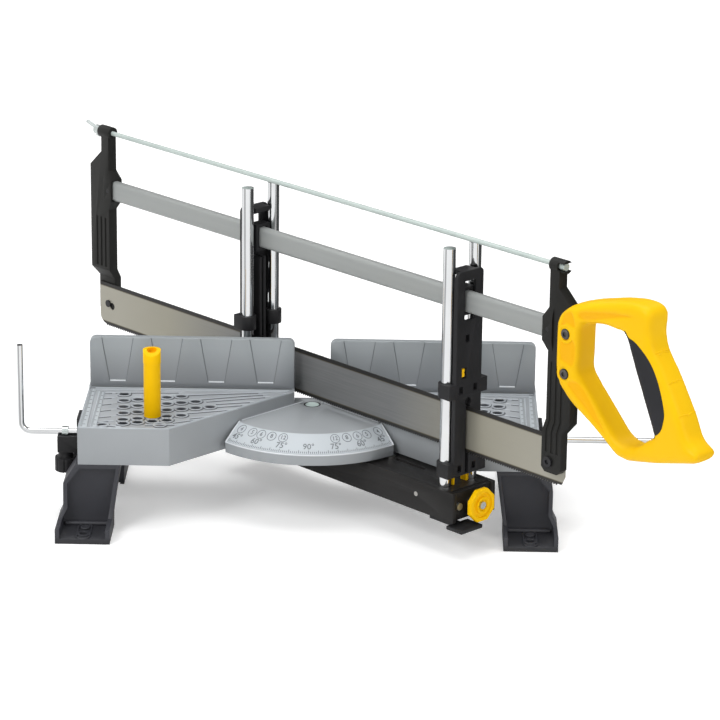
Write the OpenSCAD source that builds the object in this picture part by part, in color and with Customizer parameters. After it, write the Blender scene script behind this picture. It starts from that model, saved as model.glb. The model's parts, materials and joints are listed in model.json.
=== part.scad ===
// Manual clamping mitre saw: a frame saw that slides through two guide towers on a swinging arm.
// Units are millimetres. X runs right along the fence, Y runs back, Z runs up.
// The origin is on the bench, at the centre of the four bench screw holes in the feet.

/* [Table] */
// Height of the table top above the bench
table_h = 88; // [80:1:110]
// Fence line to the front edge of the table
table_depth = 102; // [90:1:125]
// Half of the table's width
table_half_w = 186; // [170:1:225]
// Depth of the casting's skirt
table_skirt = 32; // [28:1:36]
// Wall of the casting
table_wall = 4; // [3:0.5:6]
// Half of the gap between the fence halves
throat_half = 15; // [13:0.5:18]
// Space between the blade at its steepest angle and the table's slanted edge
kerf_room = 7; // [6:0.5:8]
// Ledge behind the fence line
back_ledge = 20; // [16:1:22]
// Rise of the ledge under the fence
ledge_rise = 0.5; // [0.3:0.1:1]
// Distance of the fence line behind the middle of the feet
pivot_y = 44; // [35:1:55]

/* [Fence] */
// Height of the fence above the table
fence_h = 43; // [36:1:52]
// Thickness of the fence
fence_t = 7; // [5:0.5:9]
// Corner radius at the top of the fence
fence_corner = 5; // [2:0.5:8]
// Recesses in each fence half
recess_count = 4; // [1:1:4]
// Spacing of the recesses
recess_pitch = 41; // [34:1:44]
// Middle of the recess nearest the blade
recess_first = 39; // [34:1:44]
// Width of a recess at the top
recess_top = 27; // [16:1:30]
// Width of a recess at the bottom
recess_bottom = 14; // [8:1:16]
// Depth of a recess
recess_deep = 1.2; // [0.5:0.1:2]
// Bottom of a recess above the table
recess_lift = 5; // [4:0.5:12]

/* [Peg holes] */
// Diameter of a peg hole
peg_hole_d = 8; // [6:0.2:9]
// Spacing of the hole columns
hole_pitch_x = 11.6; // [11:0.1:14]
// Spacing of the holes in a column
hole_pitch_y = 15.6; // [13:0.1:18]
// Forward shift from one column to the next
hole_slant = 3.1; // [2:0.1:4]
// Sideways shift from one row to the next, towards the blade
hole_skew = 1.1; // [0:0.1:1.5]
// Column farthest from the blade, from the side of the table
hole_first_in = 30.7; // [22:0.1:38]
// Row nearest the fence
hole_first_y = 17.7; // [16:0.1:22]
// Column that holds the peg
peg_column = 2; // [1:1:3]
// Row that holds the peg
peg_row = 4; // [2:1:4]
// Height of the peg above the table
peg_h = 57; // [45:1:70]
// Diameter of the peg
peg_d = 14.5; // [12:0.5:15]

/* [Quadrant] */
// Flat of the quadrant below the table top
quad_drop = 11.3; // [9:0.1:13]
// Radius of the flat
quad_flat_r = 76; // [70:1:82]
// Outer radius of the quadrant
quad_r = 96; // [92:1:104]
// Drop of the scale band
quad_band = 12.3; // [9:0.1:13]
// Wall of the quadrant
quad_t = 4; // [3:0.5:5]

/* [Feet] */
// Width of a foot at the bench
foot_w = 44; // [40:1:52]
// Reach of a foot at the bench past the side of the table
foot_splay = 16; // [14:1:40]
// Length of a foot from toe to toe
foot_len = 182; // [170:1:210]
// Wall of a foot
foot_t = 3.5; // [3:0.5:5]
// Distance of a bench screw from the toe of a foot
bench_in = 12; // [9:1:16]
// Diameter of a bench screw hole
bench_hole_d = 6.5; // [5:0.5:8]

/* [Stop rods] */
// Diameter of a stop rod
rod_d = 5; // [4:0.5:6]
// Height of the upright leg above the rod's level part
rod_leg = 74; // [50:1:90]
// Length of the level part
rod_len = 138; // [125:1:140]
// Reach of the left rod past the side of the table
rod_left_out = 50; // [44:1:70]
// Reach of the right rod past the side of the table
rod_right_out = 103; // [54:1:106]
// Depth of the rod below the table top
rod_drop = 19; // [15:0.5:22]
// Distance of the rod in front of the fence line
rod_front = 60; // [50:1:66]
// Diameter of a clamp knob
clamp_knob_d = 18; // [14:1:22]

/* [Swing arm] */
// Width of the arm
arm_w = 48; // [46:1:54]
// Depth of the arm
arm_depth = 25; // [23:1:30]
// Gap between the casting and the arm
arm_gap = 2; // [1:0.5:3]
// Reach of the arm in front of its posts
arm_past = 18.8; // [17:0.2:24]
// Reach of the arm behind the pivot
arm_back = 84; // [80:1:95]
// Wall of the arm
arm_t = 4; // [3:0.5:5]
// Angle of the cut from the square cut, as posed
mitre_rest = 45; // [45]
// Diameter of the pivot bolt
pivot_d = 8; // [6:1:10]
// Diameter of the lock knob
lock_knob_d = 31; // [24:1:34]
// Thickness of the lock knob
lock_knob_t = 11; // [8:1:14]
// Diameter of the lock rod
lock_rod_d = 6; // [5:0.5:6]

/* [Posts and guides] */
// Diameter of a guide post
post_d = 10; // [8:0.5:10.5]
// Top of the posts above the table
post_top = 163.6; // [150:1:200]
// Clearance between a guide collar and the table's corner
corner_clear = 1.1; // [0.5:0.1:3]
// Rear posts behind the pivot
post_rear = 64.2; // [62:0.2:72]
// Half of the spacing across the blade
post_half = 14.4; // [13.8:0.1:16]
// Wall of a guide collar
collar_t = 2.1; // [2:0.1:2.8]
// Height of a guide collar
collar_h = 12; // [10:1:20]
// Bottom of the lower collar below the table top
collar_drop = 25; // [24:0.5:30]
// Bottom of the upper collar above the table top
collar_rise = 41; // [34:1:60]
// Top of a guide tower above the table top
tower_top = 145; // [140:1:160]
// Half of the width of a tower
tower_half = 14.5; // [13:0.5:15]
// Thickness of a tower's face
tower_t = 3; // [2.5:0.5:4]

/* [Saw] */
// Length of the blade
blade_len = 560; // [520:1:600]
// Depth of the blade from its back to the tooth tips
blade_deep = 39.5; // [30:0.5:42]
// Thickness of the blade
blade_t = 1; // [0.8:0.1:1.2]
// Depth of the teeth
tooth_deep = 1.6; // [0.8:0.1:2.5]
// Spacing of the teeth
tooth_pitch = 2.5; // [2:0.1:5]
// Tooth tips below the table top
blade_drop = 7.3; // [5:0.1:8]
// Forward place of the saw in its stroke, as posed
saw_offset = 5.8; // [0:0.1:12]
// Blade past the inner edge of a frame arm
blade_over = 18; // [17:1:22]
// Thickness of a frame arm
frame_t = 9; // [8:0.5:10]
// Width of the spine tube
spine_w = 8; // [7:0.5:9]
// Height of the spine tube
spine_h = 17.5; // [15:0.5:19]
// Wall of the spine tube
spine_wall = 1.5; // [1:0.1:2]
// Middle of the spine above the table top
spine_z = 119; // [117:0.5:125]
// Tension rod above the table top
tension_z = 170; // [165:1:180]
// Diameter of the tension rod
tension_d = 4; // [2.5:0.5:4.5]

/* [Handle] */
// Thickness of the handle
handle_t = 23; // [20:0.5:26]
// Reach of the handle past the inner edge of the frame arm
handle_len = 158.5; // [140:0.5:180]
// Height of the handle
handle_h = 125; // [110:1:135]
// Lowest point of the handle above the table top
handle_low = 36.5; // [30:1:42]

/* [Hidden] */
$fn = 48;

// Shared clearances and overruns
cut = 1;
run_fit = 0.06;
seat_gap = 0.1;
soft_gap = 0.3;
sink = 0.5;

// Finishes
grey_cast = [0.58, 0.60, 0.62];
black_cast = [0.12, 0.12, 0.12];
black_plastic = [0.09, 0.09, 0.10];
chrome = [0.85, 0.85, 0.85];
zinc = [0.72, 0.76, 0.75];
steel = [0.66, 0.65, 0.60];
grey_tube = [0.55, 0.57, 0.58];
yellow = [1.00, 0.76, 0.05];
rubber = [0.12, 0.12, 0.14];

// Table and feet
diag_gap = kerf_room * sqrt(2);
fence_inset = 1;
hole_first_x = table_half_w - hole_first_in;
foot_out = table_half_w + foot_splay;
bench_x = 2 * foot_out - foot_w;
bench_y = foot_len - 2 * bench_in;
foot_h = table_h - table_skirt;
foot_screw_y = 40;
foot_screw_in = 10;
foot_screw_x = table_half_w - table_wall - foot_screw_in;
foot_screw_d = 5;
foot_screw_head_d = 9;
foot_screw_head_h = 3;
foot_screw_up = 14;
foot_boss_d = 12;
toe_t = 4;
toe_wall_h = 12;
arch_h = 42;
toe_len = 33;
leg_face = foot_len / 2 - toe_len;
leg_deep = 8;
heel_len = 36;
heel_in = foot_len / 2 - heel_len;
arch_knee = 10;
foot_lean_top = 10;
foot_lean_mid = 4;
foot_in_lean = 6;
bench_boss_d = 12;
bench_boss_h = 1;
notch_half = 15;

// Fence back ribs
rib_t = 4;
rib_drop = 5;
rib_count = 5;

// Rows of peg holes, as shares of the row spacing
peg_row_shares = [0, 1, 2, 3, 4, 4.6];
hole_columns = 7;
hole_clear_fence = 16;
hole_clear_edge = 25;
hole_tip_x = 81;
hole_tip_y = 47;
hole_tip_slope = 0.75;
edge_hole_shares = [[0.896, 0.92], [0.647, 0.9]];
peg_x = hole_first_x - peg_column * hole_pitch_x - peg_row * hole_skew;
peg_y = -hole_first_y + peg_column * hole_slant - peg_row * hole_pitch_y;
peg_pin = 12;
peg_fit = 0.1;
peg_slant = 30;
peg_cup_d = 8;
peg_cup_deep = 6;
peg_step_h = 11;
peg_step = 0.3;
peg_cam = 2.2;

// Quadrant
rim_z = -(quad_drop + quad_band);
rim_in = quad_r - quad_t;
index_ledge_w = 8;
index_r = rim_in - index_ledge_w / 2;
index_hole_d = 6.2;
index_shift = 0.35;
index_gap = 0.7;
index_ledge_t = 4.5;
index_ledge_up = 0.5;
index_angles = [-45, -36, -30, -22.5, -15, 0, 15, 22.5, 30, 36, 45];
hub_r = 12;
hub_bottom = -(table_skirt + arm_gap - soft_gap);
pivot_head_d = 11.6;
pivot_head_h = 1.2;
pivot_ring_d = 14;
pivot_ring_t = 1;
pivot_sink = 4.8;
pivot_seat = quad_drop + pivot_sink;
pivot_nut_d = 13;
pivot_nut_h = 6;
pivot_over = 2;

// Stop rods and brackets
rod_bend = 8;
rod_lug_in = 36;
rod_lug_x = table_half_w - rod_lug_in;
rod_lug_t = 6;
rod_lug_w = 12;
bracket_len = 20;
bracket_w = 16;
bracket_h = 13;
bracket_foot = 6;
clip_out = 14;
clip_x = table_half_w + clip_out;
clip_ring_t = 2;
clip_ring_w = 5;
clip_stud_d = 5;
clip_stud_len = 30;
clamp_knob_h = 17.4;
clamp_neck_d = 12;
clamp_neck_h = 6.4;
knob_drop = rod_d / 2 + bracket_h + seat_gap;
knob_lobes = 8;
lobe_d = 2.4;

// Swing arm
arm_top = -(table_skirt + arm_gap);
arm_bottom = arm_top - arm_depth;
arm_plate = 5;
table_corner = (2 * table_depth + diag_gap) / sqrt(2);
collar_r = post_d / 2 + collar_t;
post_front = table_corner + post_half - kerf_room + (collar_r + corner_clear) * sqrt(2);
arm_front = post_front + arm_past;
boss_wall = 4.2;
boss_d = post_d + 2 * boss_wall;
post_floor = 5;
post_foot = arm_bottom + post_floor;
post_hole_d = 4;
post_screw_head_d = 8;
post_screw_head_h = 3;
post_screw_in = 7;
screw_head_d = 6;
hub_boss_d = 28;
hub_boss_h = 18;
stop_t = 2.2;
stop_len = 6.4;
stop_wall = 0.8;
stop_in = post_half - post_d / 2 - stop_wall - stop_t;
stop_sink = 10;
groove_w = 4;
groove_deep = 1.5;
end_recess = 6;
end_plate_x = arm_front - end_recess;
end_plate_t = 4;
end_plate_fit = 0.1;
lock_z = arm_top - arm_depth / 2;
lock_pad_x = quad_r - quad_t / 2;
lock_pad_d = 7.4;
lock_pad_gap = 0.45;
lock_web_back = 36;
lock_web_x = post_front - lock_web_back;
lock_web_t = 5;
lock_web_w = 12;
knob_gap = 1;
lock_knob_x = end_plate_x + end_plate_t + knob_gap;
lock_hub_d = 12;
lock_cup_d = 10;
lock_face_deep = 2;
lock_screw_d = 6;
lock_screw_h = 2.4;
pin_v = -12;
pin_u = sqrt(index_r * index_r - pin_v * pin_v) - index_shift;
pin_d = 4.8;
pin_hole_d = 7.2;
lever_w = 8;
lever_t = 4;
lever_pivot_back = 23;
lever_pivot_x = post_front - lever_pivot_back;
lever_pivot_in = 11;
lever_pivot_z = arm_top - lever_pivot_in;
lever_pivot_d = 4;
lever_hub_r = 4.4;
lever_back = 6;
lever_seat_back = 11;
lever_seat_x = post_front - lever_seat_back;
lever_dip = 16;
lever_seat_z = arm_top - lever_dip;
lever_drop = 6.5;
lever_low = arm_bottom - lever_drop;
lever_tab_t = 3;
lever_out = 10;
lever_front = arm_front + lever_out;
lever_tab_len = 17;
lever_lug_t = 2.2;
lug_v = pin_v + lever_w / 2 + seat_gap;
spring_in = 3.7;
spring_x = lever_seat_x - spring_in;
spring_wire = 0.8;
spring_mean = 2.7;
spring_turns = 6;
spring_sides = 6;
spring_rings = 8;

// Outline of the index lever in the arm's own X and Z
lever_mid = lever_t / 2;
lever_points = [
    [pin_u - lever_back, lever_pivot_z - lever_mid], [pin_u - lever_back, lever_pivot_z + lever_mid],
    [lever_pivot_x, lever_pivot_z + lever_mid], [lever_pivot_x + lever_hub_r, lever_seat_z],
    [lever_seat_x, lever_seat_z], [lever_seat_x, lever_low + lever_tab_t],
    [lever_front, lever_low + lever_tab_t], [lever_front, lever_low],
    [lever_seat_x - lever_t, lever_low], [lever_seat_x - lever_t, lever_seat_z - lever_t],
    [lever_pivot_x, lever_seat_z - lever_mid], [lever_pivot_x - lever_hub_r, lever_pivot_z - lever_mid]
];

// Posts and guides
post_r = post_d / 2;
face_in = 6.8;
face_out = face_in + tower_t;
window_half = 6;
window_under = 6;
window_over = 9;
window_low = spine_z - spine_h / 2 - window_under;
window_high = spine_z + spine_h / 2 + window_over;
tower_corner = 4;
hook_half = 8;
hook_t = 4;
guide_rib_t = 2.6;
guide_rib_in = -3;
blade_play = 0.4;
slot_half = 2;
slot_low = 24;
slot_over = 4;
slot_high = blade_deep - blade_drop + slot_over;
keyhole_d = 7;
port_w = 4.5;
port_h = 6;
port_out = 8;
edge_w = 2.5;
edge_in = 5.6;
pad_half = 7.5;
pad_fit = 0.2;
pad_wall = 2.5;
latch_clear = 0.6;
latch_y0 = latch_clear + post_r - post_half;
latch_y1 = -(blade_t / 2 + blade_play + guide_rib_t + soft_gap);
latch_x0 = 0.8;
latch_lift = 1.9;
latch_z = collar_rise + collar_h + latch_lift;
latch_h = 12;
latch_window_h = 9;
latch_window_w = 5.6;

// Saw frame
arm_reach = blade_len / 2 - blade_over;
blade_bottom = -blade_drop;
blade_top = blade_deep - blade_drop;
blade_hole_in = 7;
blade_hole_x = arm_reach + blade_hole_in;
blade_hole_z = 13.5;
blade_hole_d = 6.4;
blade_key = 5;
blade_round = 8;
blade_chamfer = 7;
boss_r = 8;
neck_w = 9.5;
barrel_r = 5.4;
barrel_in = 1;
barrel_len = 14.6;
arm_wide = 24.5;
neck_z0 = 153;
shoulder_z = 139;
waist_z = 46;
jog_z = 38;
frame_low = 4.5;
low_in = -0.5;
low_out = 19.7;
low_t = 7.4;
low_gap = 0.1;
collar_in = 5;
collar_half = 6.4;
collar_z = 17.5;
collar_chamfer = 8;
spine_into = 4;
socket_fit = 0.1;
groove_face = 0.8;
groove_wide = 2.6;
groove_pitch = 5.6;
groove_first = 4.6;
groove_low = 21;
handle_lug_out = 31;
screw_hi_z = 122;
screw_lo_z = 90;
handle_screw_in = 24;
handle_screw_x = arm_reach + handle_screw_in;
handle_screw_d = 4;
handle_screw_head_d = 8.4;
handle_screw_head_h = 3;
handle_screw_stand = 0.6;
tension_nut_gap = 2;
rod_head_r = 3;
washer_t = 1;
washer_d = 9;
wing_hub_d = 8;
wing_hub_h = 6;
wing_span = 22;
wing_t = 2;
wing_rise = 7;
spine_pin_d = 3;

// Handle outline: shares of its reach past the arm and of its height, from the front cheek's foot
cheek_in = 14.6;
handle_in = arm_reach + cheek_in;
handle_reach = handle_len - cheek_in;
handle_shares = [
    [0, 0.43], [0, 0.76], [0.03, 0.82], [0.09, 0.865], [0.21, 0.915], [0.405, 0.975],
    [0.54, 1], [0.61, 0.99], [0.64, 0.96], [0.63, 0.83], [0.65, 0.735], [0.735, 0.605],
    [0.80, 0.485], [0.865, 0.36], [0.905, 0.25], [0.94, 0.21], [0.99, 0.19], [1, 0.155],
    [0.975, 0.125], [0.90, 0.105], [0.705, 0.045], [0.51, 0], [0.44, 0.012], [0.37, 0.075],
    [0.24, 0.17], [0.115, 0.25], [0.025, 0.345]
];
hole_shares = [
    [0.145, 0.765], [0.185, 0.79], [0.335, 0.815], [0.405, 0.805], [0.45, 0.775],
    [0.67, 0.21], [0.655, 0.17], [0.59, 0.115], [0.52, 0.115], [0.47, 0.155],
    [0.31, 0.33], [0.19, 0.47], [0.145, 0.54]
];
insert_shares = [
    [0.45, 0.775], [0.50, 0.79], [0.61, 0.69], [0.70, 0.545], [0.76, 0.40],
    [0.765, 0.30], [0.73, 0.235], [0.67, 0.21]
];
insert_proud = 0.6;
slot_fit = 0.1;

// Places the table's own frame: origin on the pivot axis at the table top
module at_table() {
    translate([0, pivot_y, table_h]) children();
}

// Places the frame of the swinging arm: X runs forward along the blade
module at_arm() {
    at_table() rotate([0, 0, mitre_rest - 90]) children();
}

// Places the frame of the saw: origin at the middle of the blade
module at_saw() {
    at_arm() translate([saw_offset, 0, 0]) children();
}

// Repeats a piece on the left, mirrored
module on_both_sides() {
    children();
    mirror([1, 0, 0]) children();
}

// A block from one corner to the other
module span(from, to) {
    translate(from) cube(to - from);
}

// A bar along Y, cut to an outline in X and Z
module along_y(y0, y1) {
    translate([0, y1, 0]) rotate([90, 0, 0]) linear_extrude(y1 - y0) children();
}

// A bar along X, cut to an outline in Y and Z
module along_x(x0, x1) {
    translate([x0, 0, 0]) rotate([90, 0, 90]) linear_extrude(x1 - x0) children();
}

// A round bar along Y
module rod_y(y0, y1, r) {
    translate([0, y1, 0]) rotate([90, 0, 0]) cylinder(h = y1 - y0, r = r);
}

// A round bar along X
module rod_x(x0, x1, r) {
    translate([x0, 0, 0]) rotate([0, 90, 0]) cylinder(h = x1 - x0, r = r);
}

// A round bar along Z
module rod_z(z0, z1, r) {
    translate([0, 0, z0]) cylinder(h = z1 - z0, r = r);
}

// Outline of the right table half, drawn in by w all round
function half_outline(w) =
    let (
        g = diag_gap + w * sqrt(2),
        tx = throat_half + w,
        d = table_depth - w,
        b = back_ledge - w,
        hw = table_half_w - w
    )
    [[tx, g - tx], [d + g, -d], [hw, -d], [hw, b], [b + g, b], [tx, tx - g]];

// Outline of the ledge under the right fence half
function ledge_outline() =
    let (g = diag_gap, tx = throat_half, b = back_ledge)
    [[tx, 0], [table_half_w, 0], [table_half_w, b], [b + g, b], [tx, tx - g]];

// Whether a peg hole stands at this place on a table half
function hole_fits(x, y) =
    -y >= hole_clear_fence
    && x + y - diag_gap >= hole_clear_edge
    && x >= hole_tip_x + (hole_tip_y + y) * hole_tip_slope
    && y > peg_hole_d - table_depth;

module peg_holes() {
    for (column = [0 : hole_columns - 1], share = peg_row_shares) {
        x = hole_first_x - column * hole_pitch_x - share * hole_skew;
        y = column * hole_slant - hole_first_y - share * hole_pitch_y;
        if (hole_fits(x, y)) {
            translate([x, y, 0]) rod_z(-table_wall - cut, cut, peg_hole_d / 2);
        }
    }
    for (share = edge_hole_shares) {
        translate([share[0] * table_half_w, -share[1] * table_depth, 0]) {
            rod_z(-table_wall - cut, cut, peg_hole_d / 2);
        }
    }
}

module fence_half() {
    x1 = table_half_w - fence_inset;
    difference() {
        along_y(0, fence_t) {
            difference() {
                translate([throat_half, ledge_rise]) square([x1 - throat_half, fence_h - ledge_rise]);
                for (x = [throat_half, x1 - fence_corner]) {
                    translate([x, fence_h - fence_corner]) square(fence_corner);
                }
            }
            for (x = [throat_half + fence_corner, x1 - fence_corner]) {
                translate([x, fence_h - fence_corner]) circle(fence_corner);
            }
        }
        for (k = [0 : recess_count - 1]) {
            translate([recess_first + k * recess_pitch, 0, 0]) along_y(-cut, recess_deep) {
                polygon([
                    [-recess_bottom / 2, recess_lift], [recess_bottom / 2, recess_lift],
                    [recess_top / 2, fence_h + cut], [-recess_top / 2, fence_h + cut]
                ]);
            }
        }
    }
    rib_step = (table_half_w - rib_t - back_ledge - diag_gap) / rib_count;
    for (k = [1 : rib_count]) {
        x = back_ledge + diag_gap + k * rib_step - rib_t / 2;
        along_x(x, x + rib_t) {
            polygon([
                [fence_t - sink, ledge_rise], [back_ledge - rib_drop / 2, ledge_rise],
                [fence_t + rib_drop / 2, fence_h - rib_drop], [fence_t - sink, fence_h - rib_drop]
            ]);
        }
    }
}

module table_half() {
    difference() {
        union() {
            translate([0, 0, -table_skirt]) linear_extrude(table_skirt) polygon(half_outline(0));
            translate([0, 0, -sink]) linear_extrude(sink + ledge_rise) polygon(ledge_outline());
        }
        translate([0, 0, -table_skirt - cut]) linear_extrude(table_skirt - table_wall + cut) {
            polygon(half_outline(table_wall));
        }
        peg_holes();
        translate([0, -rod_front, -rod_drop]) {
            rod_x(table_half_w - table_wall - cut, table_half_w + cut, rod_d / 2 + run_fit);
        }
    }
    difference() {
        translate([0, -rod_front, 0]) {
            span([rod_lug_x, -rod_lug_w / 2, -table_skirt + cut],
                [rod_lug_x + rod_lug_t, rod_lug_w / 2, -table_wall + sink]);
        }
        translate([0, -rod_front, -rod_drop]) {
            rod_x(rod_lug_x - cut, rod_lug_x + rod_lug_t + cut, rod_d / 2 + run_fit);
        }
    }
    for (y = [-foot_screw_y, foot_screw_y]) {
        translate([foot_screw_x, y - pivot_y, 0]) difference() {
            rod_z(-table_skirt, -table_wall + sink, foot_boss_d / 2);
            rod_z(-table_skirt - cut, -table_skirt + foot_screw_up + cut, foot_screw_d / 2);
        }
    }
}

module quadrant() {
    difference() {
        union() {
            intersection() {
                rotate_extrude($fn = 96) {
                    polygon([
                        [0, -quad_drop], [quad_flat_r, -quad_drop], [quad_r, rim_z],
                        [quad_r, -table_skirt], [rim_in, -table_skirt],
                        [rim_in, index_ledge_up - table_skirt],
                        [rim_in - index_ledge_w, index_ledge_up - table_skirt],
                        [rim_in - index_ledge_w, index_ledge_up + index_ledge_t - table_skirt],
                        [rim_in, index_ledge_up + index_ledge_t - table_skirt],
                        [rim_in, rim_z - quad_t / 3],
                        [quad_flat_r - quad_t / 3, -quad_drop - quad_t], [0, -quad_drop - quad_t]
                    ]);
                }
                translate([0, 0, -table_skirt]) linear_extrude(table_skirt) {
                    polygon([
                        [-throat_half, hub_r], [throat_half, hub_r],
                        [throat_half, diag_gap - throat_half],
                        [quad_r + diag_gap, -quad_r], [-quad_r - diag_gap, -quad_r],
                        [-throat_half, diag_gap - throat_half]
                    ]);
                }
            }
            rod_z(hub_bottom, -quad_drop, hub_r);
        }
        rod_z(hub_bottom - cut, 0, pivot_d / 2 + run_fit);
        rod_z(-pivot_seat, 0, pivot_ring_d / 2 + run_fit);
        for (a = index_angles) {
            rotate([0, 0, a - 90]) translate([pin_u + index_shift, pin_v, 0]) {
                rod_z(-table_skirt - cut, index_ledge_up + index_ledge_t + cut - table_skirt,
                    index_hole_d / 2);
            }
        }
    }
}

module left_table() {
    color(grey_cast) at_table() mirror([1, 0, 0]) table_half();
}

module right_table() {
    color(grey_cast) at_table() table_half();
}

module left_fence() {
    color(grey_cast) at_table() mirror([1, 0, 0]) fence_half();
}

module right_fence() {
    color(grey_cast) at_table() fence_half();
}

module quadrant_plate() {
    color(grey_cast) at_table() quadrant();
}

// Outline of a right foot seen from the front, drawn in by w at both sides
function foot_front(w, low, high) = [
    [foot_out - w, low], [foot_out - w, toe_wall_h],
        [foot_out - foot_lean_mid - w, toe_wall_h + leg_deep],
    [foot_out - foot_lean_mid - w, foot_h - 2 * leg_deep],
        [foot_out - foot_lean_mid - foot_lean_top - w, high],
    [foot_out - foot_w - foot_in_lean + w, high], [foot_out - foot_w + w, toe_wall_h],
    [foot_out - foot_w + w, low]
];

// Room at a foot's outer side for the rod bracket and its knob, grown by w
module rod_notch(w) {
    y = pivot_y - rod_front;
    span([table_half_w - seat_gap - w, y - notch_half - w, -cut],
        [foot_out + cut, y + notch_half + w, foot_h + cut]);
}

module foot() {
    difference() {
        intersection() {
            along_y(-foot_len / 2, foot_len / 2) polygon(foot_front(0, 0, foot_h));
            along_x(0, foot_out + cut) {
                polygon([
                    [-foot_len / 2, 0], [-foot_len / 2, toe_wall_h],
                    [-leg_face - leg_deep, toe_wall_h + sink],
                    [-leg_face - arch_knee / 3, toe_wall_h + arch_knee],
                    [-leg_face, foot_h], [leg_face, foot_h],
                    [leg_face + arch_knee / 3, toe_wall_h + arch_knee],
                    [leg_face + leg_deep, toe_wall_h + sink],
                    [foot_len / 2, toe_wall_h], [foot_len / 2, 0],
                    [heel_in - leg_deep, 0], [heel_in - leg_deep - arch_knee / 2, arch_h - arch_knee],
                    [heel_in - leg_deep - 2 * arch_knee, arch_h],
                    [2 * arch_knee + leg_deep - heel_in, arch_h],
                    [leg_deep + arch_knee / 2 - heel_in, arch_h - arch_knee], [leg_deep - heel_in, 0]
                ]);
            }
        }
        for (side = [-1, 1]) {
            y0 = side > 0 ? leg_face - foot_t : -foot_len / 2 - cut;
            along_y(y0, y0 + foot_len / 2 - leg_face + foot_t + cut) {
                polygon(foot_front(foot_t, toe_t, foot_h - foot_t));
            }
            translate([bench_x / 2, side * bench_y / 2, 0]) rod_z(-cut, toe_t + cut, bench_hole_d / 2);
            translate([foot_screw_x, side * foot_screw_y, 0]) {
                rod_z(foot_h - foot_t - cut, foot_h + cut, foot_screw_d / 2 + run_fit);
            }
        }
        y_in = leg_face - 2 * foot_t;
        difference() {
            along_y(-y_in, y_in) polygon(foot_front(foot_t, -cut, foot_h - foot_t));
            rod_notch(foot_t);
        }
        rod_notch(0);
    }
    for (side = [-1, 1]) {
        translate([bench_x / 2, side * bench_y / 2, 0]) difference() {
            rod_z(0, toe_t + bench_boss_h, bench_boss_d / 2);
            rod_z(-cut, toe_t + bench_boss_h + cut, bench_hole_d / 2);
        }
    }
}

module left_foot() {
    color(black_plastic) mirror([1, 0, 0]) foot();
}

module right_foot() {
    color(black_plastic) foot();
}

module foot_screws() {
    color(zinc) on_both_sides() for (y = [-foot_screw_y, foot_screw_y]) {
        translate([foot_screw_x, y, foot_h]) {
            rod_z(-foot_t - foot_screw_head_h, -foot_t, foot_screw_head_d / 2);
            rod_z(-foot_t - sink, foot_screw_up, foot_screw_d / 2 - run_fit / 2);
        }
    }
}

module pivot_bolt() {
    color(zinc) at_table() {
        rod_z(-pivot_seat + pivot_ring_t, -pivot_seat + pivot_ring_t + pivot_head_h, pivot_head_d / 2);
        rod_z(arm_top - hub_boss_h - pivot_nut_h - pivot_over, -pivot_seat + pivot_ring_t + sink,
            pivot_d / 2);
    }
}

module pivot_washer() {
    color(black_plastic) at_table() difference() {
        rod_z(-pivot_seat, -pivot_seat + pivot_ring_t, pivot_ring_d / 2);
        rod_z(-pivot_seat - cut, -pivot_seat + pivot_ring_t + cut, pivot_d / 2 + run_fit);
    }
}

module pivot_nut() {
    low = arm_top - hub_boss_h - seat_gap - pivot_nut_h;
    color(zinc) at_table() difference() {
        translate([0, 0, low]) cylinder(h = pivot_nut_h, d = pivot_nut_d, $fn = 6);
        rod_z(low - cut, low + pivot_nut_h + cut, pivot_d / 2);
    }
}

// Bracket on the right side wall that carries a stop rod
module rod_bracket() {
    at_table() translate([table_half_w, -rod_front, -rod_drop]) difference() {
        union() {
            span([0, -bracket_w / 2, -rod_d / 2 - bracket_h],
                [bracket_len, bracket_w / 2, -rod_d / 2 + sink]);
            span([0, -bracket_w / 2 - bracket_foot / 2, -table_skirt + rod_drop],
                [foot_t, bracket_w / 2 + bracket_foot / 2, rod_drop - table_wall]);
        }
        rod_x(-cut, bracket_len + cut, rod_d / 2 + run_fit);
        translate([clip_x - table_half_w, 0, 0]) {
            rod_z(-rod_d / 2 - bracket_h - cut, 0, clip_stud_d / 2 + run_fit);
            span([-clip_ring_w / 2 - seat_gap, -rod_d / 2 - clip_ring_t - seat_gap,
                -rod_d / 2 - clip_ring_t - 2 * seat_gap],
                [clip_ring_w / 2 + seat_gap, rod_d / 2 + clip_ring_t + seat_gap, cut]);
        }
    }
}

module left_rod_bracket() {
    color(black_plastic) mirror([1, 0, 0]) rod_bracket();
}

module right_rod_bracket() {
    color(black_plastic) rod_bracket();
}

// Eye stud that pulls a stop rod down on its bracket
module rod_clip() {
    at_table() translate([clip_x, -rod_front, -rod_drop]) difference() {
        union() {
            rod_x(-clip_ring_w / 2, clip_ring_w / 2, rod_d / 2 + clip_ring_t);
            rod_z(-clip_stud_len, -rod_d / 2 - clip_ring_t / 2, clip_stud_d / 2 - run_fit / 2);
        }
        rod_x(-clip_ring_w, clip_ring_w, rod_d / 2 + run_fit);
    }
}

module left_rod_clip() {
    color(zinc) mirror([1, 0, 0]) rod_clip();
}

module right_rod_clip() {
    color(zinc) rod_clip();
}

// Clamp knob under a bracket, on the eye stud
module clamp_knob() {
    top = -knob_drop;
    at_table() translate([clip_x, -rod_front, -rod_drop]) difference() {
        union() {
            rod_z(top - clamp_neck_h, top, clamp_neck_d / 2);
            difference() {
                rod_z(top - clamp_knob_h, top - clamp_neck_h + sink, clamp_knob_d / 2);
                for (k = [0 : knob_lobes - 1]) {
                    rotate([0, 0, k * 360 / knob_lobes]) translate([clamp_knob_d / 2 + lobe_d / 4,
                        0, 0]) {
                        rod_z(top - clamp_knob_h - cut, top - clamp_neck_h + cut, lobe_d / 2);
                    }
                }
            }
        }
        rod_z(-clip_stud_len - seat_gap, top + cut, clip_stud_d / 2 + run_fit);
    }
}

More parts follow.
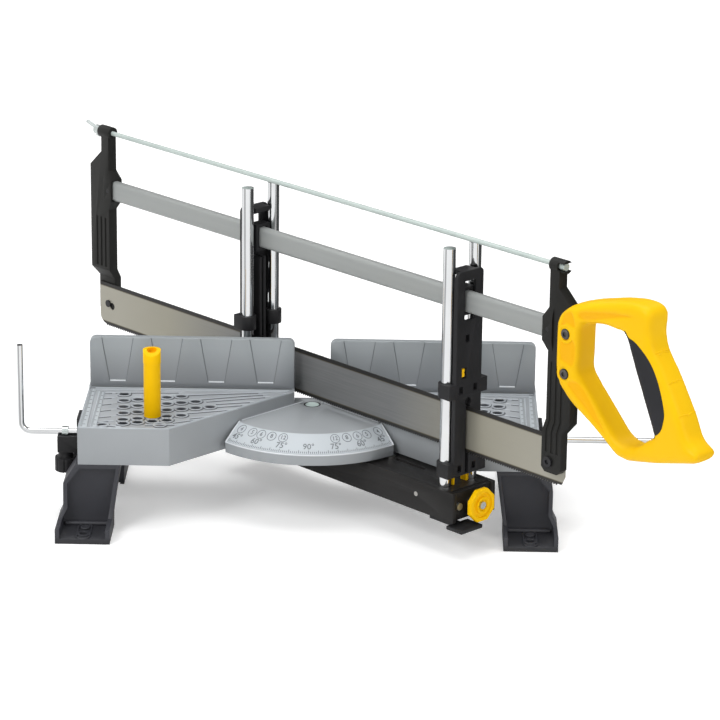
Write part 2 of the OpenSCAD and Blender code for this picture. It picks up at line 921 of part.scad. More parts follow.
module left_clamp_knob() {
    color(black_plastic) mirror([1, 0, 0]) clamp_knob();
}

module right_clamp_knob() {
    color(black_plastic) clamp_knob();
}

// Stop rod on the right, with its upright leg at a given reach
module stop_rod(reach) {
    at_table() translate([reach, -rod_front, -rod_drop]) {
        rod_x(-rod_len, -rod_bend, rod_d / 2);
        translate([-rod_bend, 0, rod_bend]) rotate([90, 0, 0]) {
            rotate([0, 0, -90]) rotate_extrude(angle = 90) translate([rod_bend, 0]) circle(rod_d / 2);
        }
        rod_z(rod_bend, rod_leg, rod_d / 2);
    }
}

module left_stop_rod() {
    color(chrome) mirror([1, 0, 0]) stop_rod(table_half_w + rod_left_out);
}

module right_stop_rod() {
    color(chrome) stop_rod(table_half_w + rod_right_out);
}

module cam_peg() {
    color(yellow) at_table() translate([-peg_x, peg_y, 0]) {
        translate([0, peg_cam, 0]) difference() {
            union() {
                rod_z(seat_gap, peg_h - peg_step_h, peg_d / 2 - peg_step);
                rod_z(peg_h - peg_step_h - sink, peg_h, peg_d / 2);
            }
            translate([0, 0, peg_h]) rotate([peg_slant, 0, 0]) {
                span([-peg_d, -peg_d, 0], [peg_d, peg_d, peg_d]);
                rod_z(-peg_cup_deep, cut, peg_cup_d / 2);
            }
        }
        rod_z(-peg_pin, seat_gap + sink, peg_hole_d / 2 - peg_fit);
    }
}

// Places of the four posts in the frame of the arm
module at_post(x, side) {
    at_arm() translate([x, side * post_half, 0]) children();
}

module guide_post(x, side) {
    color(chrome) at_post(x, side) difference() {
        rod_z(post_foot, post_top, post_r);
        rod_z(post_foot - cut, post_foot + post_screw_head_d, post_hole_d / 2);
    }
}

module post_front_left() {
    guide_post(post_front, -1);
}

module post_front_right() {
    guide_post(post_front, 1);
}

module post_rear_left() {
    guide_post(-post_rear, -1);
}

module post_rear_right() {
    guide_post(-post_rear, 1);
}

module post_screws() {
    color(zinc) for (x = [-post_rear, post_front], side = [-1, 1]) {
        at_post(x, side) {
            rod_z(arm_bottom, arm_bottom + post_screw_head_h, post_screw_head_d / 2);
            rod_z(arm_bottom + sink, post_foot + post_screw_in, post_hole_d / 2 - run_fit / 2);
        }
    }
}

module depth_stops() {
    color(yellow) for (side = [-1, 1]) {
        at_arm() translate([post_front, side * (stop_in + stop_t / 2), 0]) {
            span([-stop_len / 2, -stop_t / 2, arm_top - stop_sink],
                [stop_len / 2, stop_t / 2, -collar_drop - seat_gap / 2]);
        }
    }
}

module swing_arm() {
    color(black_cast) at_arm() difference() {
        union() {
            difference() {
                span([-arm_back, -arm_w / 2, arm_bottom], [arm_front, arm_w / 2, arm_top]);
                span([-arm_back + arm_t, -arm_w / 2 + arm_t, arm_bottom - cut],
                    [arm_front + cut, arm_w / 2 - arm_t, arm_top - arm_plate]);
                span([end_plate_x, -arm_w / 2 + arm_t, arm_bottom - cut],
                    [arm_front + cut, arm_w / 2 - arm_t, arm_top + cut]);
            }
            rod_z(arm_top - hub_boss_h, arm_top - sink, hub_boss_d / 2);
            for (x = [-post_rear, post_front], side = [-1, 1]) {
                translate([x, side * post_half, 0]) rod_z(arm_bottom, arm_top - sink, boss_d / 2);
            }
            span([lock_web_x, -lock_web_w / 2, arm_bottom + arm_t],
                [lock_web_x + lock_web_t, lock_web_w / 2, arm_top - sink]);
            span([lever_pivot_x - lever_hub_r, lug_v, lever_pivot_z - lever_hub_r],
                [lever_pivot_x + lever_hub_r, lug_v + lever_lug_t, arm_top - sink]);
        }
        rod_z(arm_top - hub_boss_h - cut, arm_top + cut, pivot_d / 2 + run_fit);
        for (x = [-post_rear, post_front], side = [-1, 1]) {
            translate([x, side * post_half, 0]) {
                rod_z(post_foot, arm_top + cut, post_r + run_fit / 2);
                rod_z(arm_bottom - cut, post_foot + cut, post_hole_d / 2 + run_fit);
                rod_z(arm_bottom - cut, arm_bottom + post_screw_head_h,
                    post_screw_head_d / 2 + run_fit);
            }
        }
        for (side = [-1, 1]) {
            translate([post_front, side * (stop_in + stop_t / 2), 0]) {
                span([-stop_len / 2, -stop_t / 2, arm_top - stop_sink],
                    [stop_len / 2, stop_t / 2, arm_top + cut]);
            }
        }
        translate([0, 0, lock_z]) rod_x(lock_web_x - cut, lock_web_x + lock_web_t + cut,
            lock_rod_d / 2 + run_fit);
        translate([lock_pad_x, 0, 0]) rod_z(arm_top - arm_plate - cut, arm_top + cut,
            lock_pad_d / 2 + run_fit);
        translate([pin_u, pin_v, 0]) rod_z(arm_top - arm_plate - cut, arm_top + cut, pin_hole_d / 2);
        translate([lever_pivot_x, 0, lever_pivot_z]) {
            rod_y(-arm_w / 2 - cut, lug_v + lever_lug_t + cut, lever_pivot_d / 2);
        }
        span([quad_r + arm_plate, -groove_w / 2, arm_top - groove_deep],
            [post_front - 2 * boss_d, groove_w / 2, arm_top + cut]);
    }
}

module arm_end_plate() {
    half = arm_w / 2 - arm_t - end_plate_fit;
    color(black_cast) at_arm() difference() {
        span([end_plate_x, -half, arm_bottom + cut], [end_plate_x + end_plate_t, half, arm_top - cut]);
        translate([0, 0, lock_z]) {
            rod_x(end_plate_x - cut, end_plate_x + end_plate_t + cut, lock_rod_d / 2 + run_fit);
            for (side = [-1, 1]) {
                translate([0, side * (half - arm_t), 0]) {
                    rod_x(end_plate_x - cut, end_plate_x + end_plate_t + cut, post_hole_d / 2);
                }
            }
        }
    }
}

module end_plate_screws() {
    half = arm_w / 2 - arm_t - end_plate_fit;
    color(zinc) at_arm() for (side = [-1, 1]) {
        translate([0, side * (half - arm_t), lock_z]) {
            rod_x(end_plate_x + end_plate_t, end_plate_x + end_plate_t + post_hole_d / 2,
                screw_head_d / 2);
            rod_x(end_plate_x - post_hole_d / 2, end_plate_x + end_plate_t + sink,
                post_hole_d / 2 - run_fit);
        }
    }
}

module lock_knob() {
    color(yellow) at_arm() translate([0, 0, lock_z]) difference() {
        union() {
            translate([lock_knob_x + lock_knob_t / 3, 0, 0]) rotate([0, 90, 0]) {
                rotate([0, 0, 22.5]) cylinder(h = lock_knob_t * 2 / 3, d = lock_knob_d, $fn = 8);
            }
            rod_x(lock_knob_x, lock_knob_x + lock_knob_t, lock_hub_d / 2);
        }
        rod_x(lock_knob_x - cut, lock_knob_x + lock_knob_t - lock_screw_h, lock_rod_d / 2);
        rod_x(lock_knob_x + lock_knob_t - lock_face_deep, lock_knob_x + lock_knob_t + cut,
            lock_cup_d / 2);
    }
}

module lock_rod() {
    color(zinc) at_arm() translate([0, 0, lock_z]) {
        rod_x(lock_pad_x - lock_pad_d / 2, lock_knob_x + lock_knob_t - lock_screw_h, lock_rod_d / 2);
    }
}

module lock_screw() {
    end = lock_knob_x + lock_knob_t;
    color(zinc) at_arm() translate([0, 0, lock_z]) rod_x(end - lock_face_deep,
        end + lock_screw_h - lock_face_deep, lock_screw_d / 2);
}

module lock_pad() {
    color(steel) at_arm() translate([lock_pad_x, 0, 0]) {
        rod_z(lock_z + lock_rod_d / 2 + seat_gap, -table_skirt - lock_pad_gap, lock_pad_d / 2);
    }
}

module index_lever() {
    color(black_plastic) at_arm() difference() {
        union() {
            along_y(pin_v - lever_w / 2, pin_v + lever_w / 2) {
                polygon(lever_points);
                translate([lever_pivot_x, lever_pivot_z]) circle(lever_hub_r);
            }
            span([lever_front - lever_tab_len, -arm_w / 2, lever_low],
                [lever_front, 0, lever_low + lever_tab_t]);
        }
        translate([lever_pivot_x, 0, lever_pivot_z]) {
            rod_y(pin_v - lever_w, pin_v + lever_w, lever_pivot_d / 2 + run_fit);
        }
        translate([pin_u, pin_v, 0]) rod_z(lever_pivot_z - lever_t, lever_pivot_z + lever_t, pin_d / 2);
    }
}

module index_pin() {
    tip = index_ledge_up - table_skirt - index_gap;
    color(steel) at_arm() translate([pin_u, pin_v, 0]) {
        rod_z(lever_pivot_z - lever_mid, tip - pin_d / 3, pin_d / 2);
        translate([0, 0, tip - pin_d / 3]) cylinder(h = pin_d / 3, r1 = pin_d / 2, r2 = pin_d / 3);
    }
}

module lever_pivot() {
    color(steel) at_arm() translate([lever_pivot_x, 0, lever_pivot_z]) {
        rod_y(-arm_w / 2, lug_v + lever_lug_t, lever_pivot_d / 2 - run_fit / 3);
    }
}

// Points of a helix ring at step i, and the tube's faces
function helix_ring(i, rise) =
    let (
        a = i * 360 / spring_rings,
        z = rise * i / (spring_turns * spring_rings)
    )
    [for (s = [0 : spring_sides - 1])
        let (
            b = s * 360 / spring_sides,
            r = spring_mean + spring_wire / 2 * cos(b)
        )
        [r * cos(a), r * sin(a), z + spring_wire / 2 * sin(b)]];

function tube_faces(rings, sides) = concat(
    [for (i = [0 : rings - 2], s = [0 : sides - 1], half = [0, 1])
        let (
            a = i * sides + s,
            b = i * sides + (s + 1) % sides
        )
        half == 0 ? [a, b, b + sides] : [a, b + sides, a + sides]],
    [for (s = [1 : sides - 2]) [0, s + 1, s]],
    [for (s = [1 : sides - 2]) let (e = (rings - 1) * sides) [e, e + s, e + s + 1]]
);

module lever_spring() {
    low = lever_seat_z + spring_wire / 2 + seat_gap;
    rise = arm_top - arm_plate - low - spring_wire / 2 - seat_gap;
    rings = spring_turns * spring_rings + 1;
    echo(spring_gap = rise / spring_turns - spring_wire);
    color(steel) at_arm() translate([spring_x, pin_v, low]) {
        polyhedron([for (i = [0 : rings - 1], q = helix_ring(i, rise)) q],
            tube_faces(rings, spring_sides));
    }
}

// Guide tower in its own frame: X points away from the pivot
module tower() {
    low = -collar_drop;
    difference() {
        union() {
            along_x(face_in, face_out) {
                difference() {
                    translate([-tower_half, low]) square([2 * tower_half, tower_top - low]);
                    for (side = [-1, 1]) {
                        translate([side * (tower_half - tower_corner / 2),
                            tower_top - tower_corner / 2]) {
                            square(tower_corner, center = true);
                        }
                    }
                }
                for (side = [-1, 1]) {
                    translate([side * (tower_half - tower_corner),
                        tower_top - tower_corner]) circle(tower_corner);
                }
            }
            for (side = [-1, 1]) {
                edge = side > 0 ? tower_half - edge_w : -tower_half;
                span([edge_in, edge, low], [face_in + sink, edge + edge_w, tower_top - tower_corner]);
                rib = side > 0 ? blade_t / 2 + blade_play : -blade_t / 2 - blade_play - guide_rib_t;
                span([guide_rib_in, rib, low], [face_in + sink, rib + guide_rib_t,
                    window_low - pad_wall]);
                for (z = [low, collar_rise]) {
                    translate([0, side * post_half, z]) {
                        rod_z(0, collar_h, collar_r);
                        along_side = side > 0 ? 0 : -collar_r;
                        span([0, -collar_r, 0], [face_out, collar_r, collar_h]);
                        span([0, along_side - side * collar_r * 2 / 3, 0],
                            [face_in + sink, along_side + collar_r - side * collar_r * 2 / 3,
                                collar_h]);
                    }
                }
            }
            span([guide_rib_in, -hook_half, tower_top - hook_t],
                [face_in + sink, hook_half, tower_top]);
        }
        for (side = [-1, 1]) {
            translate([0, side * post_half, 0]) rod_z(low - cut, tower_top, post_r + run_fit);
            translate([0, side * port_out, 0]) {
                for (z = [low + collar_h / 2, collar_rise + collar_h / 2]) {
                    span([face_in - cut, -port_w / 2, z - port_h / 2],
                        [face_out + cut, port_w / 2, z + port_h / 2]);
                }
            }
        }
        span([face_in - cut, -window_half, window_low], [face_out + cut, window_half, window_high]);
        span([guide_rib_in - cut, -blade_t / 2 - blade_play, -slot_low],
            [face_in, blade_t / 2 + blade_play, slot_high]);
        span([face_in - cut, -slot_half, -slot_low], [face_out + cut, slot_half, slot_high]);
        translate([0, 0, slot_high]) rod_x(face_in - cut, face_out + cut, keyhole_d / 2);
        span([face_in - cut, latch_y0 + port_w / 4, latch_z + latch_h / 2 - latch_window_h / 2],
            [face_out + cut, latch_y0 + port_w / 4 + latch_window_w,
                latch_z + latch_h / 2 + latch_window_h / 2]);
        span([face_in - cut, latch_y0 + port_w, window_low - 2 * port_h - port_h],
            [face_out + cut, latch_y0 + 2 * port_w, window_low - 2 * port_h]);
    }
}

module front_guide() {
    color(black_plastic) at_arm() translate([post_front, 0, 0]) tower();
}

module rear_guide() {
    color(black_plastic) at_arm() translate([-post_rear, 0, 0]) rotate([0, 0, 180]) tower();
}

// Black nylon collar that carries the spine tube inside a tower
module spine_pad() {
    half_w = spine_w / 2 + pad_fit;
    half_h = spine_h / 2 + pad_fit;
    difference() {
        span([guide_rib_in, -pad_half, spine_z - half_h - pad_wall],
            [face_in, pad_half, spine_z + half_h + pad_wall]);
        span([guide_rib_in - cut, -half_w, spine_z - half_h],
            [face_in + cut, half_w, spine_z + half_h]);
    }
}

module front_spine_pad() {
    color(black_plastic) at_arm() translate([post_front, 0, 0]) spine_pad();
}

module rear_spine_pad() {
    color(black_plastic) at_arm() translate([-post_rear, 0, 0]) rotate([0, 0, 180]) spine_pad();
}

module lift_latch() {
    color(yellow) at_arm() translate([post_front, 0, 0]) {
        span([latch_x0, latch_y0, latch_z], [face_in - soft_gap, latch_y1, latch_z + latch_h]);
    }
}

module spine_tube() {
    end = arm_reach + spine_into;
    half = spine_w / 2;
    color(grey_tube) at_saw() translate([0, 0, spine_z]) difference() {
        span([-end, -half, -spine_h / 2], [end, half, spine_h / 2]);
        span([-end - cut, -half + spine_wall, -spine_h / 2 + spine_wall],
            [end + cut, half - spine_wall, spine_h / 2 - spine_wall]);
        for (side = [-1, 1]) {
            translate([side * (arm_reach), 0, 0]) rod_y(-spine_w, spine_w, spine_pin_d / 2);
        }
    }
}

// Frame arm at the handle end, in the frame of the saw. It steps aside above the blade.
module frame_arm() {
    step_in = blade_t / 2 + low_gap;
    step_out = step_in + low_t;
    grooves_top = spine_z - collar_z - collar_chamfer;
    difference() {
        union() {
            translate([arm_reach, 0, 0]) intersection() {
                along_y(-frame_t, frame_t) {
                    polygon([
                        [0, tension_z], [0, waist_z], [low_in, jog_z], [low_in, frame_low + low_t / 2],
                        [low_in + low_t / 2, frame_low], [low_out - low_t / 2, frame_low],
                        [low_out, frame_low + low_t / 2], [low_out, jog_z], [arm_wide, waist_z],
                        [arm_wide, shoulder_z], [neck_w, neck_z0], [neck_w, tension_z]
                    ]);
                }
                along_x(-frame_t, 2 * arm_wide) {
                    polygon([
                        [-frame_t / 2, tension_z], [-frame_t / 2, waist_z], [-step_out, jog_z],
                        [-step_out, 0], [-step_in, 0], [-step_in, jog_z], [frame_t / 2, waist_z],
                        [frame_t / 2, tension_z]
                    ]);
                }
            }
            translate([0, 0, tension_z]) {
                rod_x(arm_reach - barrel_in, arm_reach - barrel_in + barrel_len, barrel_r);
            }
            translate([arm_reach, 0, spine_z]) intersection() {
                along_y(-collar_half, collar_half) {
                    polygon([
                        [-collar_in, collar_chamfer - collar_z], [-collar_in, collar_z - collar_chamfer],
                        [0, collar_z], [collar_in, collar_z], [collar_in, -collar_z], [0, -collar_z]
                    ]);
                }
                along_x(-2 * collar_in, 2 * collar_in) {
                    polygon([
                        [-frame_t / 2, collar_z], [-collar_half, collar_z - collar_chamfer],
                        [-collar_half, collar_chamfer - collar_z], [-frame_t / 2, -collar_z],
                        [frame_t / 2, -collar_z], [collar_half, collar_chamfer - collar_z],
                        [collar_half, collar_z - collar_chamfer], [frame_t / 2, collar_z]
                    ]);
                }
            }
        }
        translate([0, 0, spine_z]) {
            span([arm_reach - collar_in - cut, -spine_w / 2 - socket_fit / 2,
                -spine_h / 2 - socket_fit / 2],
                [arm_reach + spine_into, spine_w / 2 + socket_fit / 2, spine_h / 2 + socket_fit / 2]);
            translate([arm_reach, 0, 0]) {
                rod_y(-collar_half - cut, collar_half + cut, spine_pin_d / 2);
            }
        }
        for (k = [0 : 2]) {
            x = arm_reach + groove_first + k * groove_pitch - groove_wide / 2;
            along_x(x, x + groove_wide) {
                polygon([
                    [-frame_t, grooves_top], [groove_face - frame_t / 2, grooves_top],
                    [groove_face - frame_t / 2, waist_z], [groove_face - step_out, jog_z],
                    [groove_face - step_out, groove_low], [-step_out - cut, groove_low],
                    [-step_out - cut, jog_z], [-frame_t, waist_z]
                ]);
            }
            span([x, frame_t / 2 - groove_face, waist_z + groove_wide],
                [x + groove_wide, frame_t / 2 + cut, grooves_top]);
        }
        translate([0, 0, tension_z]) rod_x(arm_reach - boss_r, arm_reach + 3 * boss_r,
            tension_d / 2 + run_fit);
        translate([blade_hole_x, 0, blade_hole_z]) {
            rod_y(-blade_t / 2 - low_gap - low_t - cut, cut, handle_screw_d / 2);
        }
    }
}

module front_frame_arm() {
    color(black_cast) at_saw() difference() {
        union() {
            frame_arm();
            span([arm_reach + arm_wide - sink, -frame_t / 2, screw_lo_z - boss_r],
                [arm_reach + handle_lug_out, frame_t / 2, screw_hi_z + boss_r]);
        }
        for (z = [screw_lo_z, screw_hi_z]) {
            translate([handle_screw_x, 0, z]) rod_y(-frame_t, frame_t, handle_screw_d / 2);
        }
        span([arm_reach + barrel_len / 2, -frame_t, tension_z - rod_head_r - seat_gap],
            [arm_reach + barrel_len, frame_t, tension_z + rod_head_r + seat_gap]);
    }
}

module rear_frame_arm() {
    color(black_cast) at_saw() rotate([0, 0, 180]) frame_arm();
}

module blade() {
    half = blade_len / 2;
    teeth = floor((blade_len - 2 * blade_chamfer) / tooth_pitch);
    first = -teeth * tooth_pitch / 2;
    gullet = blade_bottom + tooth_deep;
    color(steel) at_saw() difference() {
        along_y(-blade_t / 2, blade_t / 2) {
            polygon(concat(
                [[half, blade_top], [-half, blade_top], [-half, gullet + blade_round]],
                [for (a = [15 : 15 : 75])
                    [-half + blade_round * (1 - cos(a)), gullet + blade_round * (1 - sin(a))]],
                [[first - tooth_pitch / 2, gullet]],
                [for (k = [0 : teeth - 1], tip = [0, 1])
                    tip == 0 ? [first + k * tooth_pitch, gullet]
                        : [first + (k + 0.5) * tooth_pitch, blade_bottom]],
                [[first + teeth * tooth_pitch, gullet], [half - blade_chamfer / 2, gullet],
                    [half, gullet + blade_chamfer]]
            ));
        }
        translate([blade_hole_x, 0, blade_hole_z]) rod_y(-cut, cut, handle_screw_d / 2 + run_fit);
        translate([-blade_hole_x, 0, blade_hole_z]) {
            rod_y(-cut, cut, blade_hole_d / 2);
            translate([blade_key, 0, -blade_key / 3]) rod_y(-cut, cut, blade_hole_d / 2);
        }
    }
}

module blade_screw() {
    front = -blade_t / 2 - low_gap - low_t;
    color(black_cast) at_saw() translate([blade_hole_x, 0, blade_hole_z]) {
        difference() {
            rod_y(front - handle_screw_stand * 3, front, handle_screw_head_d / 2);
            rod_y(front - handle_screw_stand * 3 - cut, front - handle_screw_stand, handle_screw_d / 2);
        }
        rod_y(front - sink, blade_t / 2 + handle_screw_stand * 3, handle_screw_d / 2 - run_fit / 2);
        rod_y(blade_t / 2 + seat_gap, blade_t / 2 + handle_screw_stand * 4,
            handle_screw_head_d / 2 - cut);
    }
}

module blade_peg() {
    back = blade_t / 2 + low_gap + low_t;
    color(black_cast) at_saw() translate([-blade_hole_x, 0, blade_hole_z]) {
        rod_y(-blade_t / 2 - seat_gap - washer_t, blade_t / 2 + seat_gap - sink / 2,
            blade_hole_d / 2 - 2 * run_fit);
        rod_y(-blade_t / 2, back, handle_screw_d / 2 - run_fit / 2);
    }
}

module spine_pins() {
    color(black_cast) at_saw() for (side = [-1, 1]) {
        translate([side * (arm_reach), 0, spine_z]) {
            rod_y(-collar_half, collar_half, spine_pin_d / 2 - run_fit / 2);
        }
    }
}

module tension_rod() {
    inner = -(arm_reach + barrel_len - barrel_in + tension_nut_gap + wing_hub_h);
    outer = arm_reach + barrel_len - barrel_in - cut;
    color(zinc) at_saw() translate([0, 0, tension_z]) {
        rod_x(inner, outer, tension_d / 2);
        rod_x(arm_reach + barrel_len / 2 + seat_gap, outer, rod_head_r);
    }
}

module tension_washer() {
    x = -(arm_reach + barrel_len - barrel_in) - seat_gap;
    color(zinc) at_saw() translate([0, 0, tension_z]) difference() {
        rod_x(x - washer_t, x, washer_d / 2);
        rod_x(x - washer_t - cut, x + cut, tension_d / 2 + run_fit);
    }
}

module wing_nut() {
    x = -(arm_reach + barrel_len - barrel_in + washer_t) - 2 * seat_gap;
    color(zinc) at_saw() translate([x - wing_hub_h, 0, tension_z]) difference() {
        union() {
            rod_x(0, wing_hub_h, wing_hub_d / 2);
            rotate([40, 0, 0]) along_y(-wing_t / 2, wing_t / 2) {
                polygon([
                    [wing_hub_h - cut, -wing_hub_d / 3], [wing_hub_h - cut, wing_hub_d / 3],
                    [-wing_rise / 2, wing_span / 2], [-wing_rise, wing_span / 2 - wing_t],
                    [cut, 0], [-wing_rise, wing_t - wing_span / 2], [-wing_rise / 2, -wing_span / 2]
                ]);
            }
        }
        rod_x(-cut, wing_hub_h + cut, tension_d / 2 + run_fit);
    }
}

// A point of the handle from its shares
function handle_point(share) = [handle_in + share[0] * handle_reach, handle_low + share[1] * handle_h];

module handle_body() {
    outline = [for (share = handle_shares) handle_point(share)];
    hole = [for (share = hole_shares) handle_point(share)];
    insert = [for (share = insert_shares) handle_point(share)];
    color(yellow) at_saw() difference() {
        along_y(-handle_t / 2, handle_t / 2) {
            difference() {
                polygon(outline);
                polygon(hole);
                polygon(insert);
            }
        }
        span([handle_in - cut, -frame_t / 2 - slot_fit, screw_lo_z - boss_r - 3 * slot_fit],
            [arm_reach + handle_lug_out + slot_fit, frame_t / 2 + slot_fit,
                screw_hi_z + boss_r + 3 * slot_fit]);
        span([handle_in - cut, -frame_t / 2 - slot_fit, handle_low],
            [arm_reach + arm_wide + slot_fit, frame_t / 2 + slot_fit, shoulder_z + boss_r]);
        for (z = [screw_lo_z, screw_hi_z]) {
            translate([handle_screw_x, 0, z]) {
                rod_y(-handle_t, handle_t, handle_screw_d / 2 + run_fit);
                rod_y(-handle_t, -handle_t / 2 + handle_screw_head_h - handle_screw_stand,
                    handle_screw_head_d / 2 + run_fit);
            }
        }
    }
}

module grip_insert() {
    half = handle_t / 2 + insert_proud;
    color(rubber) at_saw() along_y(-half, half) {
        polygon([for (share = insert_shares) handle_point(share)]);
    }
}

module handle_screws() {
    front = -handle_t / 2 - handle_screw_stand;
    color(black_cast) at_saw() for (z = [screw_lo_z, screw_hi_z]) {
        translate([handle_screw_x, 0, z]) {
            difference() {
                rod_y(front, front + handle_screw_head_h, handle_screw_head_d / 2);
                rod_y(front - cut, front + handle_screw_head_h / 2, handle_screw_d / 2);
            }
            rod_y(front + handle_screw_head_h / 2, handle_t / 2 - cut,
                handle_screw_d / 2 - run_fit / 2);
        }
    }
}

left_table();
right_table();
left_fence();
right_fence();
quadrant_plate();
left_foot();
right_foot();
foot_screws();
pivot_bolt();
pivot_washer();
pivot_nut();
left_rod_bracket();
right_rod_bracket();
left_rod_clip();
right_rod_clip();
left_stop_rod();
right_stop_rod();
left_clamp_knob();
right_clamp_knob();
cam_peg();
swing_arm();
post_front_left();
post_front_right();
post_rear_left();
post_rear_right();
post_screws();
depth_stops();
arm_end_plate();
end_plate_screws();
lock_knob();
lock_rod();
lock_screw();
lock_pad();
index_lever();
index_pin();
lever_pivot();
lever_spring();
front_guide();
rear_guide();
front_spine_pad();
rear_spine_pad();
lift_latch();
spine_tube();
front_frame_arm();
rear_frame_arm();
blade();
blade_screw();
blade_peg();
spine_pins();
tension_rod();
tension_washer();
wing_nut();
handle_body();
grip_insert();
handle_screws();
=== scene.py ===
import json
import math

import bmesh
import bpy
from mathutils import Matrix, Vector
from mathutils.bvhtree import BVHTree


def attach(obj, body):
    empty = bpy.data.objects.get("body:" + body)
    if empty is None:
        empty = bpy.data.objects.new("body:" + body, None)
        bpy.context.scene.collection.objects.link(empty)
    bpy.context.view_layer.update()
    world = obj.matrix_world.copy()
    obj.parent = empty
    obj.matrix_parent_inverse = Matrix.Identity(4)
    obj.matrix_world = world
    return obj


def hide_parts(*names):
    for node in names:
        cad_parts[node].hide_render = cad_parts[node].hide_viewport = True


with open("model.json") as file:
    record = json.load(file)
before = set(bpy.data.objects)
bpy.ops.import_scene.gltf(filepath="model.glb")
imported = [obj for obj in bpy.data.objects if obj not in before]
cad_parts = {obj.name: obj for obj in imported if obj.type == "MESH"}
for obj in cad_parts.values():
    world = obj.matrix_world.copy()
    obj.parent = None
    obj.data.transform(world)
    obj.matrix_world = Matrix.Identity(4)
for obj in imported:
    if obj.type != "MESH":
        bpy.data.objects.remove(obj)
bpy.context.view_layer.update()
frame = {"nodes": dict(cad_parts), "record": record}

MM = 0.001
DIAGONAL = math.sqrt(0.5)
PIVOT = Vector((0.0, 0.044, 0.088))
SAW_OFFSET = 5.8


def at_table(x, y, z):
    """A point of the table's own frame, given in millimetres, in the row frame."""
    return PIVOT + Vector((x, y, z)) * MM


def at_arm(x, y, z):
    """A point of the swinging arm's frame: x forward along the blade, y across it."""
    return PIVOT + Vector(((x + y) * DIAGONAL, (y - x) * DIAGONAL, z)) * MM


def at_saw(x, y, z):
    """A point of the saw's frame, whose origin is at the middle of the blade."""
    return at_arm(x + SAW_OFFSET, y, z)


EAST, NORTH, UP = Vector((1, 0, 0)), Vector((0, 1, 0)), Vector((0, 0, 1))
FORWARD, ACROSS = Vector((DIAGONAL, -DIAGONAL, 0)), Vector((DIAGONAL, DIAGONAL, 0))

# Shader groups shared by the finishes


def shader_group(name, inputs, outputs):
    """An empty shader node group with named value inputs and outputs."""
    tree = bpy.data.node_groups.new(name, "ShaderNodeTree")
    for label, value in inputs:
        socket = tree.interface.new_socket(name=label, in_out="INPUT", socket_type="NodeSocketFloat")
        socket.default_value = value
    for label in outputs:
        tree.interface.new_socket(name=label, in_out="OUTPUT", socket_type="NodeSocketFloat")
    ends = tree.nodes.new("NodeGroupInput"), tree.nodes.new("NodeGroupOutput")
    return tree, ends[0], ends[1]


def add_math(tree, operation, a, b=None):
    """A Math node of two sockets or numbers. Returns its output."""
    node = tree.nodes.new("ShaderNodeMath")
    node.operation = operation
    for socket, value in zip(node.inputs, (a, b)):
        if value is None:
            continue
        if isinstance(value, (int, float)):
            socket.default_value = value
        else:
            tree.links.new(value, socket)
    return node.outputs[0]


def make_grain_group():
    """Fine cast or moulded grain, with a slow change of tone."""
    tree, given, result = shader_group(
        "fine_grain", [("Scale", 900.0), ("Patch Scale", 14.0)], ["Height", "Tone"])
    coords = tree.nodes.new("ShaderNodeTexCoord")
    for label, key, detail in (("Height", "Scale", 3.0), ("Tone", "Patch Scale", 5.0)):
        noise = tree.nodes.new("ShaderNodeTexNoise")
        noise.inputs["Detail"].default_value = detail
        tree.links.new(coords.outputs["Object"], noise.inputs["Vector"])
        tree.links.new(given.outputs[key], noise.inputs["Scale"])
        tree.links.new(noise.outputs["Fac"], result.inputs[label])
    return tree


def blade_axes(tree):
    """Object coordinates turned so that X runs along the blade. Returns the three outputs."""
    coords = tree.nodes.new("ShaderNodeTexCoord")
    turn = tree.nodes.new("ShaderNodeMapping")
    turn.inputs["Rotation"].default_value = (0.0, 0.0, math.radians(45))
    tree.links.new(coords.outputs["Object"], turn.inputs["Vector"])
    parts = tree.nodes.new("ShaderNodeSeparateXYZ")
    tree.links.new(turn.outputs[0], parts.inputs[0])
    return parts.outputs


def make_drawn_group():
    """Long fine lines along the blade, as grinding and drawing leave them."""
    tree, given, result = shader_group(
        "drawn_lines", [("Scale", 30.0), ("Stretch", 60.0)], ["Height", "Tone"])
    axes = blade_axes(tree)
    joined = tree.nodes.new("ShaderNodeCombineXYZ")
    tree.links.new(axes[0], joined.inputs[0])
    for axis in (1, 2):
        tree.links.new(add_math(tree, "MULTIPLY", axes[axis], given.outputs["Stretch"]), joined.inputs[axis])
    for label, factor in (("Height", 4.0), ("Tone", 1.0)):
        noise = tree.nodes.new("ShaderNodeTexNoise")
        noise.inputs["Detail"].default_value = 4.0
        tree.links.new(joined.outputs[0], noise.inputs["Vector"])
        tree.links.new(add_math(tree, "MULTIPLY", given.outputs["Scale"], factor), noise.inputs["Scale"])
        tree.links.new(noise.outputs["Fac"], result.inputs[label])
    return tree


def make_reach_group():
    """A mask that grows from 0 to 1 along the blade, away from its middle, in metres."""
    tree, given, result = shader_group(
        "reach_along_blade", [("Middle", 0.0), ("Near", 0.0), ("Far", 1.0)], ["Mask"])
    away = add_math(tree, "SUBTRACT", blade_axes(tree)[0], given.outputs["Middle"])
    away = add_math(tree, "SUBTRACT", add_math(tree, "ABSOLUTE", away), given.outputs["Near"])
    span = add_math(tree, "SUBTRACT", given.outputs["Far"], given.outputs["Near"])
    node = tree.nodes.new("ShaderNodeClamp")
    tree.links.new(add_math(tree, "DIVIDE", away, span), node.inputs[0])
    tree.links.new(node.outputs[0], result.inputs["Mask"])
    return tree


